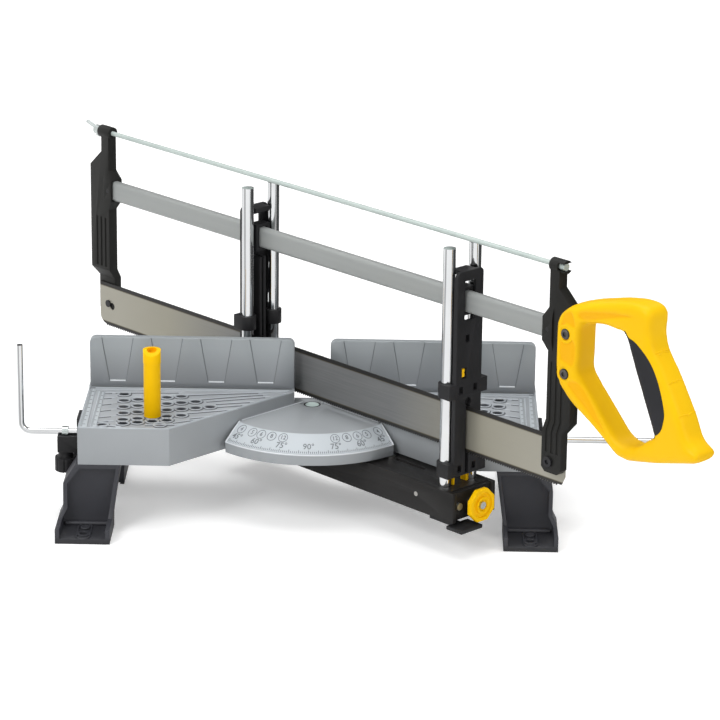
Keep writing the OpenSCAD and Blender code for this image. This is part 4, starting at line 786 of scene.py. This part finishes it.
def scale_band():
    """The bright band that carries the scale."""
    shape = bmesh.new()
    steps = 72
    rows = []
    for radius, proud in ((76.4, -0.3), (76.6, BAND_PROUD), (82, BAND_PROUD), (88.5, BAND_PROUD),
                          (94.6, BAND_PROUD), (94.9, -0.3)):
        half = end_angle(radius) - 0.9 / radius
        rows.append([shape.verts.new(on_scale(half * (2 * k / steps - 1), radius, proud))
                     for k in range(steps + 1)])
    for low, high in zip(rows, rows[1:]):
        for k in range(steps):
            shape.faces.new((low[k], high[k], high[k + 1], low[k + 1]))
    for k in range(steps):
        shape.faces.new((rows[0][k + 1], rows[-1][k + 1], rows[-1][k], rows[0][k]))
    shape.faces.new([row[0] for row in rows][::-1])
    shape.faces.new([row[-1] for row in rows])
    bmesh.ops.recalc_face_normals(shape, faces=shape.faces)
    piece = new_piece("scale_band", shape, "scale_band")
    settle(piece, 40.0)
    return fit_on(piece, "bed")


def scale_figures(labels):
    """Raised figures, bent onto the quadrant's band. Each is its text, angle, radius and height."""
    whole = bmesh.new()
    for text, angle, radius, height in labels:
        curve = bpy.data.curves.new("figure", "FONT")
        curve.body = text
        curve.align_x, curve.align_y = "CENTER", "CENTER"
        curve.size = height * 1.4
        curve.extrude = 0.12
        curve.offset = 0.07
        curve.resolution_u = 3
        holder = add_object("figure", curve)
        mesh = evaluated_mesh(holder)
        for vertex in mesh.vertices:
            x, y, z = vertex.co
            vertex.co = on_scale(math.radians(angle) + x / radius, radius - y, z + 0.16)
        whole.from_mesh(mesh)
        bpy.data.objects.remove(holder)
    bmesh.ops.remove_doubles(whole, verts=whole.verts, dist=1e-6)
    piece = new_piece("scale_figures", whole, "scale_figures")
    return fit_on(piece, "bed")


scale_band()

# Stops of the many-sided shapes, as angles off the middle, and the angles marked below them
STOPS = ((15, "12"), (22, "8"), (28.7, "6"), (34.8, "5"), (43, "4"))
MARKED_ANGLES = ((14.6, "75°"), (29.2, "60°"), (42, "45°"))
STOP_R, MARKED_R, TICK_R, LIP_R = 81.4, 88.4, 94.0, 95.6
labels = [("90°", 0, 88.2, 4.9)]
for way in (-1, 1):
    labels += [(text, way * angle, STOP_R, 3.5) for angle, text in STOPS]
    labels += [(text, way * angle, MARKED_R, 4.9) for angle, text in MARKED_ANGLES]
scale_figures(labels)
circles, ticks = [], []
for way in (-1, 1):
    for angle, _ in STOPS:
        run = []
        for k in range(25):
            a = 2 * math.pi * k / 24
            run.append(on_scale(math.radians(way * angle) + 3.7 * math.cos(a) / STOP_R,
                                STOP_R + 3.7 * math.sin(a), BAND_PROUD))
        run[-1] = run[0].copy()
        circles.append(run)
for degrees in range(-45, 46):
    long = 2.6 if degrees % 5 == 0 else 1.5
    ticks.append([on_scale(math.radians(degrees), radius, 0.1) for radius in (TICK_R, TICK_R - long)])
lay_ribs("scale_circles", circles, 0.27, "scale_figures", "bed", sides=6)
lay_ribs("scale_ticks", ticks, 0.3, "scale_figures", "bed", sides=6)
# painted highlight: bright lips round the quadrant's edge, along its meeting with the tables and at its ends
lips = [[on_scale(end_angle(LIP_R) * (k / 40 - 1), LIP_R, -0.05) for k in range(81)]]
for way in (-1, 1):
    lips.append([at_table(way * reach, 9.0 - reach, FLAT_Z + 0.1) for reach in range(8, 57, 8)])
    lips.append([on_scale(way * (end_angle(r) - 0.004), r, 0.05) for r in (76, 82, 88, 94, 95.8)])
lay_ribs("quadrant_lips", lips, 0.65, "highlight_paint_edge", "bed")

# Handle: one smooth moulded body, with the soft grip let into it

HANDLE_IN, HANDLE_REACH, HANDLE_LOW, HANDLE_H, HANDLE_T = 276.6, 143.9, 36.5, 125.0, 23.0


def handle_point(u, v):
    """A point of the handle's side view, from shares of its length and height, in millimetres."""
    return HANDLE_IN + u * HANDLE_REACH, HANDLE_LOW + v * HANDLE_H


def smooth_run(points, per_side=8):
    """A closed smooth run through points, as Catmull and Rom draw it."""
    run, count = [], len(points)
    for k in range(count):
        a, b, c, d = (points[(k + j) % count] for j in (-1, 0, 1, 2))
        for step in range(per_side):
            t = step / per_side
            run.append(tuple(
                0.5 * (2 * b[i] + (c[i] - a[i]) * t + (2 * a[i] - 5 * b[i] + 4 * c[i] - d[i]) * t ** 2
                       + (3 * b[i] - a[i] - 3 * c[i] + d[i]) * t ** 3) for i in (0, 1)))
    return run


def melt(piece, voxel, rounds):
    """Rounds a piece all over: an even skin over it, then smoothed."""
    skin = piece.modifiers.new("skin", "REMESH")
    skin.mode = "VOXEL"
    skin.voxel_size = voxel * MM
    soften = piece.modifiers.new("soften", "SMOOTH")
    soften.factor = 0.5
    soften.iterations = rounds
    settle(piece, 70.0)


def inside(x, z, outline):
    """Whether a point is inside an outline."""
    hit = False
    for (x0, z0), (x1, z1) in zip(outline, outline[1:] + outline[:1]):
        if (z0 > z) != (z1 > z) and x < (x1 - x0) * (z - z0) / (z1 - z0) + x0:
            hit = not hit
    return hit


def edge_gap(x, z, outline):
    """Distance from a point to an outline."""
    best = 1e9
    for (x0, z0), (x1, z1) in zip(outline, outline[1:] + outline[:1]):
        dx, dz = x1 - x0, z1 - z0
        t = max(0.0, min(1.0, ((x - x0) * dx + (z - z0) * dz) / (dx * dx + dz * dz)))
        best = min(best, math.hypot(x - x0 - t * dx, z - z0 - t * dz))
    return best


# Outlines on the handle's side, in shares of its length and height: its sunk panels, the soft insert, what
# is cut from the edge of the hand hole, and the ridges on its back
PANELS = [
    [(0.155, 0.855), (0.33, 0.905), (0.465, 0.925), (0.545, 0.92), (0.42, 0.875), (0.18, 0.80)],
    [(0.03, 0.70), (0.035, 0.795), (0.065, 0.825), (0.11, 0.835), (0.132, 0.78), (0.125, 0.735),
     (0.07, 0.745)],
    [(0.025, 0.52), (0.025, 0.64), (0.07, 0.655), (0.13, 0.65), (0.128, 0.50), (0.08, 0.49)],
    [(0.085, 0.365), (0.147, 0.41), (0.248, 0.31), (0.37, 0.135), (0.325, 0.155), (0.18, 0.275)],
]
INSERT = [
    (0.475, 0.80), (0.507, 0.787), (0.565, 0.765), (0.648, 0.687), (0.722, 0.56), (0.77, 0.404),
    (0.768, 0.325), (0.752, 0.268), (0.716, 0.23), (0.66, 0.21), (0.55, 0.48),
]
HOLE_TRIM = [
    [(0.40, 0.80), (0.45, 0.815), (0.494, 0.783), (0.57, 0.575), (0.655, 0.36), (0.713, 0.205),
     (0.66, 0.175), (0.60, 0.30)],
    [(0.145, 0.56), (0.135, 0.455), (0.40, 0.135), (0.46, 0.09), (0.53, 0.082), (0.60, 0.105),
     (0.62, 0.17), (0.50, 0.25), (0.33, 0.36), (0.20, 0.53)],
]
RIDGES = [
    [(0.69, 0.735), (0.73, 0.764), (0.785, 0.775)], [(0.785, 0.57), (0.815, 0.6), (0.855, 0.61)],
    [(0.865, 0.392), (0.90, 0.414), (0.945, 0.426)],
]
RIDGE_LOOK = Vector((0.079, 0.945, -0.317)).normalized()    # the way the ridges are seen in the photo
SLAB = 20.0                                                 # half depth of the tools that cut the handle
PANEL_DEPTH, PANEL_SLOPE, PANEL_START = 1.2, 1.6, 6.0       # how deep, how soft, and how far off the middle


def handle_run(shares):
    """The points of the handle's side view that shares of its length and height give."""
    return [handle_point(*share) for share in shares]


def swollen(mesh, by):
    """Moves the points of a mesh out along their normals. Returns its shape."""
    shape = bmesh.new()
    shape.from_mesh(mesh)
    shape.normal_update()
    for vertex in shape.verts:
        vertex.co += vertex.normal * by * MM
    shape.to_mesh(mesh)
    return shape


def sink_panels(mesh, middle):
    """Sinks the panels in both sides of the handle, and marks where, for the painted shade of its finish."""
    panels = [smooth_run(handle_run(panel), 4) for panel in PANELS]
    recess = mesh.attributes.new("recess", "FLOAT", "POINT").data
    for n, vertex in enumerate(mesh.vertices):
        local = vertex.co - middle
        x, y, z = local.dot(FORWARD) / MM, local.dot(ACROSS) / MM, local.z / MM
        if abs(y) < PANEL_START:
            continue
        for panel in panels:
            if inside(x, z, panel):
                share = min(1.0, edge_gap(x, z, panel) / PANEL_SLOPE)
                recess[n].value = share
                vertex.co -= ACROSS * math.copysign(share * PANEL_DEPTH, y) * MM


def find_ridges(skin, middle):
    """Runs on the handle's skin where the photo shows its ridges, and the same on its far side."""
    ridges = []
    for ridge in RIDGES:
        points = handle_run(ridge)
        near = []
        for a, b in zip(points, points[1:]):
            for k in range(6):
                x, z = (low + (high - low) * k / 6 for low, high in zip(a, b))
                start = at_saw(x, -HANDLE_T / 2, z) - RIDGE_LOOK * 50 * MM
                spot, normal, _, _ = skin.ray_cast(start, RIDGE_LOOK)
                if spot:
                    near.append(spot - normal * 0.3 * MM)
        ridges += [near, [spot - ACROSS * 2 * (spot - middle).dot(ACROSS) for spot in near]]
    return [run for run in ridges if len(run) > 2]


def make_handle():
    """The moulded handle and its soft grip."""
    shape = merged_copy("handle_body")
    part = mesh_of(merged_copy("grip_insert"), "filler")
    for vertex in part.vertices:
        vertex.co -= ACROSS * (0.02 * MM if vertex.co.dot(ACROSS) > 0 else 0.0)
    shape.from_mesh(part)
    handle = new_piece("handle_finished", shape, "handle_yellow")
    melt(handle, 1.3, 6)
    cut_away(handle, [prism_shape([handle_run(outline)], -SLAB, SLAB, at_side) for outline in HOLE_TRIM])
    melt(handle, 1.3, 90)
    middle = at_saw(0, 0, 0)
    sink_panels(handle.data, middle)
    shape = swollen(handle.data, 1.05)
    ridges = find_ridges(BVHTree.FromBMesh(shape), middle)
    shape.free()
    lay_ribs("handle_ridges", ridges, 0.7, "handle_yellow", "saw")
    grip = add_object("grip_finished", handle.data.copy())
    grip.data.materials.clear()
    grip.data.materials.append(FINISH["soft_grip"])
    swollen(grip.data, 0.35).free()
    outline = smooth_run(handle_run(INSERT), 6)
    cut_away(grip, [prism_shape([outline], -SLAB, SLAB, at_side)], "INTERSECT")
    settle(grip, 40.0)
    fit_on(handle, "saw")
    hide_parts("handle_body")
    fit_on(grip, "saw")
    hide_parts("grip_insert")


make_handle()

SCREW_X = 286.0
SCREW_PAD = ((7.6, -3.0), (7.6, 0.1), (7.2, 0.5), (5.2, 0.6), (4.9, 0.2), (4.9, -3.0))
for label, z in (("upper", 122.0), ("lower", 90.0)):
    spot = at_saw(SCREW_X, -HANDLE_T / 2, z)
    turned_piece(label + "_screw_pad", SCREW_PAD, spot, -ACROSS, FORWARD, "handle_yellow", "saw")
    socket_head(label + "_screw_socket", spot - ACROSS * 0.6 * MM, -ACROSS, FORWARD, 3.8, 0.8, 2.1,
                "burnt_steel", "saw")

# Ribbed thumb face of the latch, in the window of its tower

thumb = [(176.4, 57.6), (179.3, 57.6), (179.8, 58.5), (179.8, 60.3), (179.2, 61.2), (179.8, 62.1),
         (179.8, 63.9), (179.3, 64.8), (176.4, 64.8)]
thumb = [(x - SAW_OFFSET, z) for x, z in thumb]
button = new_piece("latch_button", prism_shape([thumb], -7.5, -4.4, at_side), "yellow_plastic")
ease_edges(button, 0.4)
settle(button, 40.0)
fit_on(button, "latch")

# Lock knob with its dished face

KNOB_FACE = at_arm(199.046, 0, -46.5)
dish = turned_shape(((10.8, 0.6), (10.1, -1.5), (7.2, -1.5), (6.6, 0.6)), KNOB_FACE, FORWARD, UP,
                    ring_shaped=True)
round_node("lock_knob", 2.2, segments=4, cutters=[dish], angle=25.0, shrink=(KNOB_FACE, 0.93, 0.6))
for name, profile in (
    ("knob_dish", ((10.0, -1.9), (10.0, -1.42), (7.2, -1.42), (7.2, -1.9))),
    ("knob_rim", ((6.9, -0.6), (6.9, 0.35), (6.4, 0.6), (5.6, 0.35), (5.6, -0.6))),
):
    turned_piece(name, profile, KNOB_FACE, FORWARD, UP, "yellow_plastic", "lock",
                 ring_shaped=True)

# Camera, lights and floor

CAMERA_DOWN, CAMERA_TURN, CAMERA_TILT = math.radians(18.512), math.radians(0.819), math.radians(0.69)
CAMERA_LENS, CAMERA_GAP = 165.16, 2741.4
CAMERA_AIM = PIVOT + Vector((39.411, 0.0, 26.733)) * MM


def make_camera():
    """The camera, at the photo's viewing angle."""
    forward = Vector((-math.sin(CAMERA_TURN) * math.cos(CAMERA_DOWN),
                      math.cos(CAMERA_TURN) * math.cos(CAMERA_DOWN), -math.sin(CAMERA_DOWN)))
    level = Vector((math.cos(CAMERA_TURN), math.sin(CAMERA_TURN), 0.0))
    above = level.cross(forward)
    right = level * math.cos(CAMERA_TILT) + above * math.sin(CAMERA_TILT)
    above = above * math.cos(CAMERA_TILT) - level * math.sin(CAMERA_TILT)
    data = bpy.data.cameras.new("camera")
    data.lens = CAMERA_LENS
    data.sensor_width = 36.0
    data.clip_end = 50.0
    camera = add_object("camera", data)
    place = CAMERA_AIM - forward * CAMERA_GAP * MM
    camera.matrix_world = Matrix((
        (right.x, above.x, -forward.x, place.x),
        (right.y, above.y, -forward.y, place.y),
        (right.z, above.z, -forward.z, place.z),
        (0.0, 0.0, 0.0, 1.0),
    ))
    bpy.context.scene.camera = camera


make_camera()


def area_lamp(name, position, aim, size, power):
    """A soft square lamp."""
    data = bpy.data.lights.new(name, "AREA")
    data.shape = "RECTANGLE"
    data.size, data.size_y = size
    data.energy = power
    lamp = add_object(name, data)
    lamp.location = position
    lamp.rotation_euler = (Vector(aim) - Vector(position)).to_track_quat("-Z", "Y").to_euler()


LAMP_AIM = (0.0, 0.0, 0.1)
area_lamp("key_lamp", (-1.5, -1.5, 2.0), LAMP_AIM, (1.2, 1.2), 33.0)
area_lamp("fill_lamp", (1.9, -1.4, 1.2), LAMP_AIM, (1.2, 1.6), 11.0)
area_lamp("top_lamp", (0.1, 0.3, 2.4), LAMP_AIM, (2.0, 1.4), 25.0)

# Dark strips of the studio: bearing, the cosines between which a strip fades in, and how bright it is
DARK_STRIPS = ((14, 0.68, 0.8, 0.04), (-152, 0.93, 0.975, 0.45), (90, 0.94, 0.985, 0.08))


def mirror_strips(tree, direction):
    """How bright the studio looks in a mirror towards a direction: dark strips stand round a pale room."""
    axes = tree.nodes.new("ShaderNodeSeparateXYZ")
    tree.links.new(direction, axes.inputs[0])
    bearing = add_math(tree, "ARCTAN2", axes.outputs[1], axes.outputs[0])
    bright = 1.0
    for middle, far, near, dark in DARK_STRIPS:
        off = add_math(tree, "COSINE", add_math(tree, "SUBTRACT", bearing, math.radians(middle)))
        strip = map_range(tree, off, far, near, 1.0, dark)
        bright = add_math(tree, "MULTIPLY", strip, bright)
    return bright


WHITE = (1.0, 1.0, 1.0, 1.0)


def make_world():
    """A pale room: white to the camera, striped in mirrors, and half as bright on the rest."""
    world = bpy.data.worlds.new("studio")
    bpy.context.scene.world = world
    world.use_nodes = True
    tree = world.node_tree
    background = tree.nodes["Background"]
    path = tree.nodes.new("ShaderNodeLightPath")
    toward = tree.nodes.new("ShaderNodeTexCoord")
    strips = mirror_strips(tree, toward.outputs["Generated"])
    mirrored = add_math(tree, "MULTIPLY", path.outputs["Is Glossy Ray"], strips)
    seen = add_math(tree, "MAXIMUM", path.outputs["Is Camera Ray"], path.outputs["Is Transmission Ray"])
    seen = add_math(tree, "MAXIMUM", seen, mirrored)
    plain = add_math(tree, "SUBTRACT", 1.0, add_math(tree, "MAXIMUM", path.outputs["Is Glossy Ray"], seen))
    strength = add_math(tree, "ADD", seen, add_math(tree, "MULTIPLY", plain, 0.5))
    tree.links.new(strength, background.inputs["Strength"])
    background.inputs["Color"].default_value = WHITE


make_world()

FLOOR_TONE, FLOOR_REACH = (0.93, 0.93, 0.93), 6


def make_floor():
    """The pale floor. It keeps the object's shadow, glows white far out, and is striped in mirrors."""
    mesh = bpy.data.meshes.new("floor")
    corners = [(x * FLOOR_REACH, y * FLOOR_REACH, 0) for x, y in ((-1, -1), (1, -1), (1, 1), (-1, 1))]
    mesh.from_pydata(corners, [], [(0, 1, 2, 3)])
    floor = add_object("floor", mesh)
    material = bpy.data.materials.new("floor")
    material.use_nodes = True
    tree = material.node_tree
    shader = tree.nodes["Principled BSDF"]
    shader.inputs["Roughness"].default_value = 0.9
    shader.inputs["Specular IOR Level"].default_value = 0.1
    mesh.materials.append(material)

    path = tree.nodes.new("ShaderNodeLightPath")
    seen = add_math(tree, "MAXIMUM", path.outputs["Is Camera Ray"],
                    add_math(tree, "MULTIPLY", path.outputs["Is Glossy Ray"], 0.2))
    ground = tree.nodes.new("ShaderNodeTexCoord").outputs["Object"]
    reach = tree.nodes.new("ShaderNodeVectorMath")
    reach.operation = "LENGTH"
    tree.links.new(ground, reach.inputs[0])
    reach = reach.outputs["Value"]
    dark = add_math(tree, "SUBTRACT", 1.0, mirror_strips(tree, ground))
    dark = add_math(tree, "MULTIPLY", dark, map_range(tree, reach, 0.22, 0.36, 0.0, 1.0))
    dark = add_math(tree, "MULTIPLY", dark, path.outputs["Is Glossy Ray"])
    tree.links.new(blend_colour(tree, dark, FLOOR_TONE, (0.02, 0.02, 0.02)), shader.inputs["Base Color"])
    glow = map_range(tree, seen, 0.0, 1.0, 0.0, 0.28)
    glow = add_math(tree, "MULTIPLY", glow, add_math(tree, "SUBTRACT", 1.0, dark))
    glow = add_math(tree, "MULTIPLY", glow, map_range(tree, reach, 0.9, 2.6, 1.0, 3.4))
    shader.inputs["Emission Color"].default_value = WHITE
    tree.links.new(glow, shader.inputs["Emission Strength"])


make_floor()

bpy.context.scene.view_settings.view_transform = "Standard"
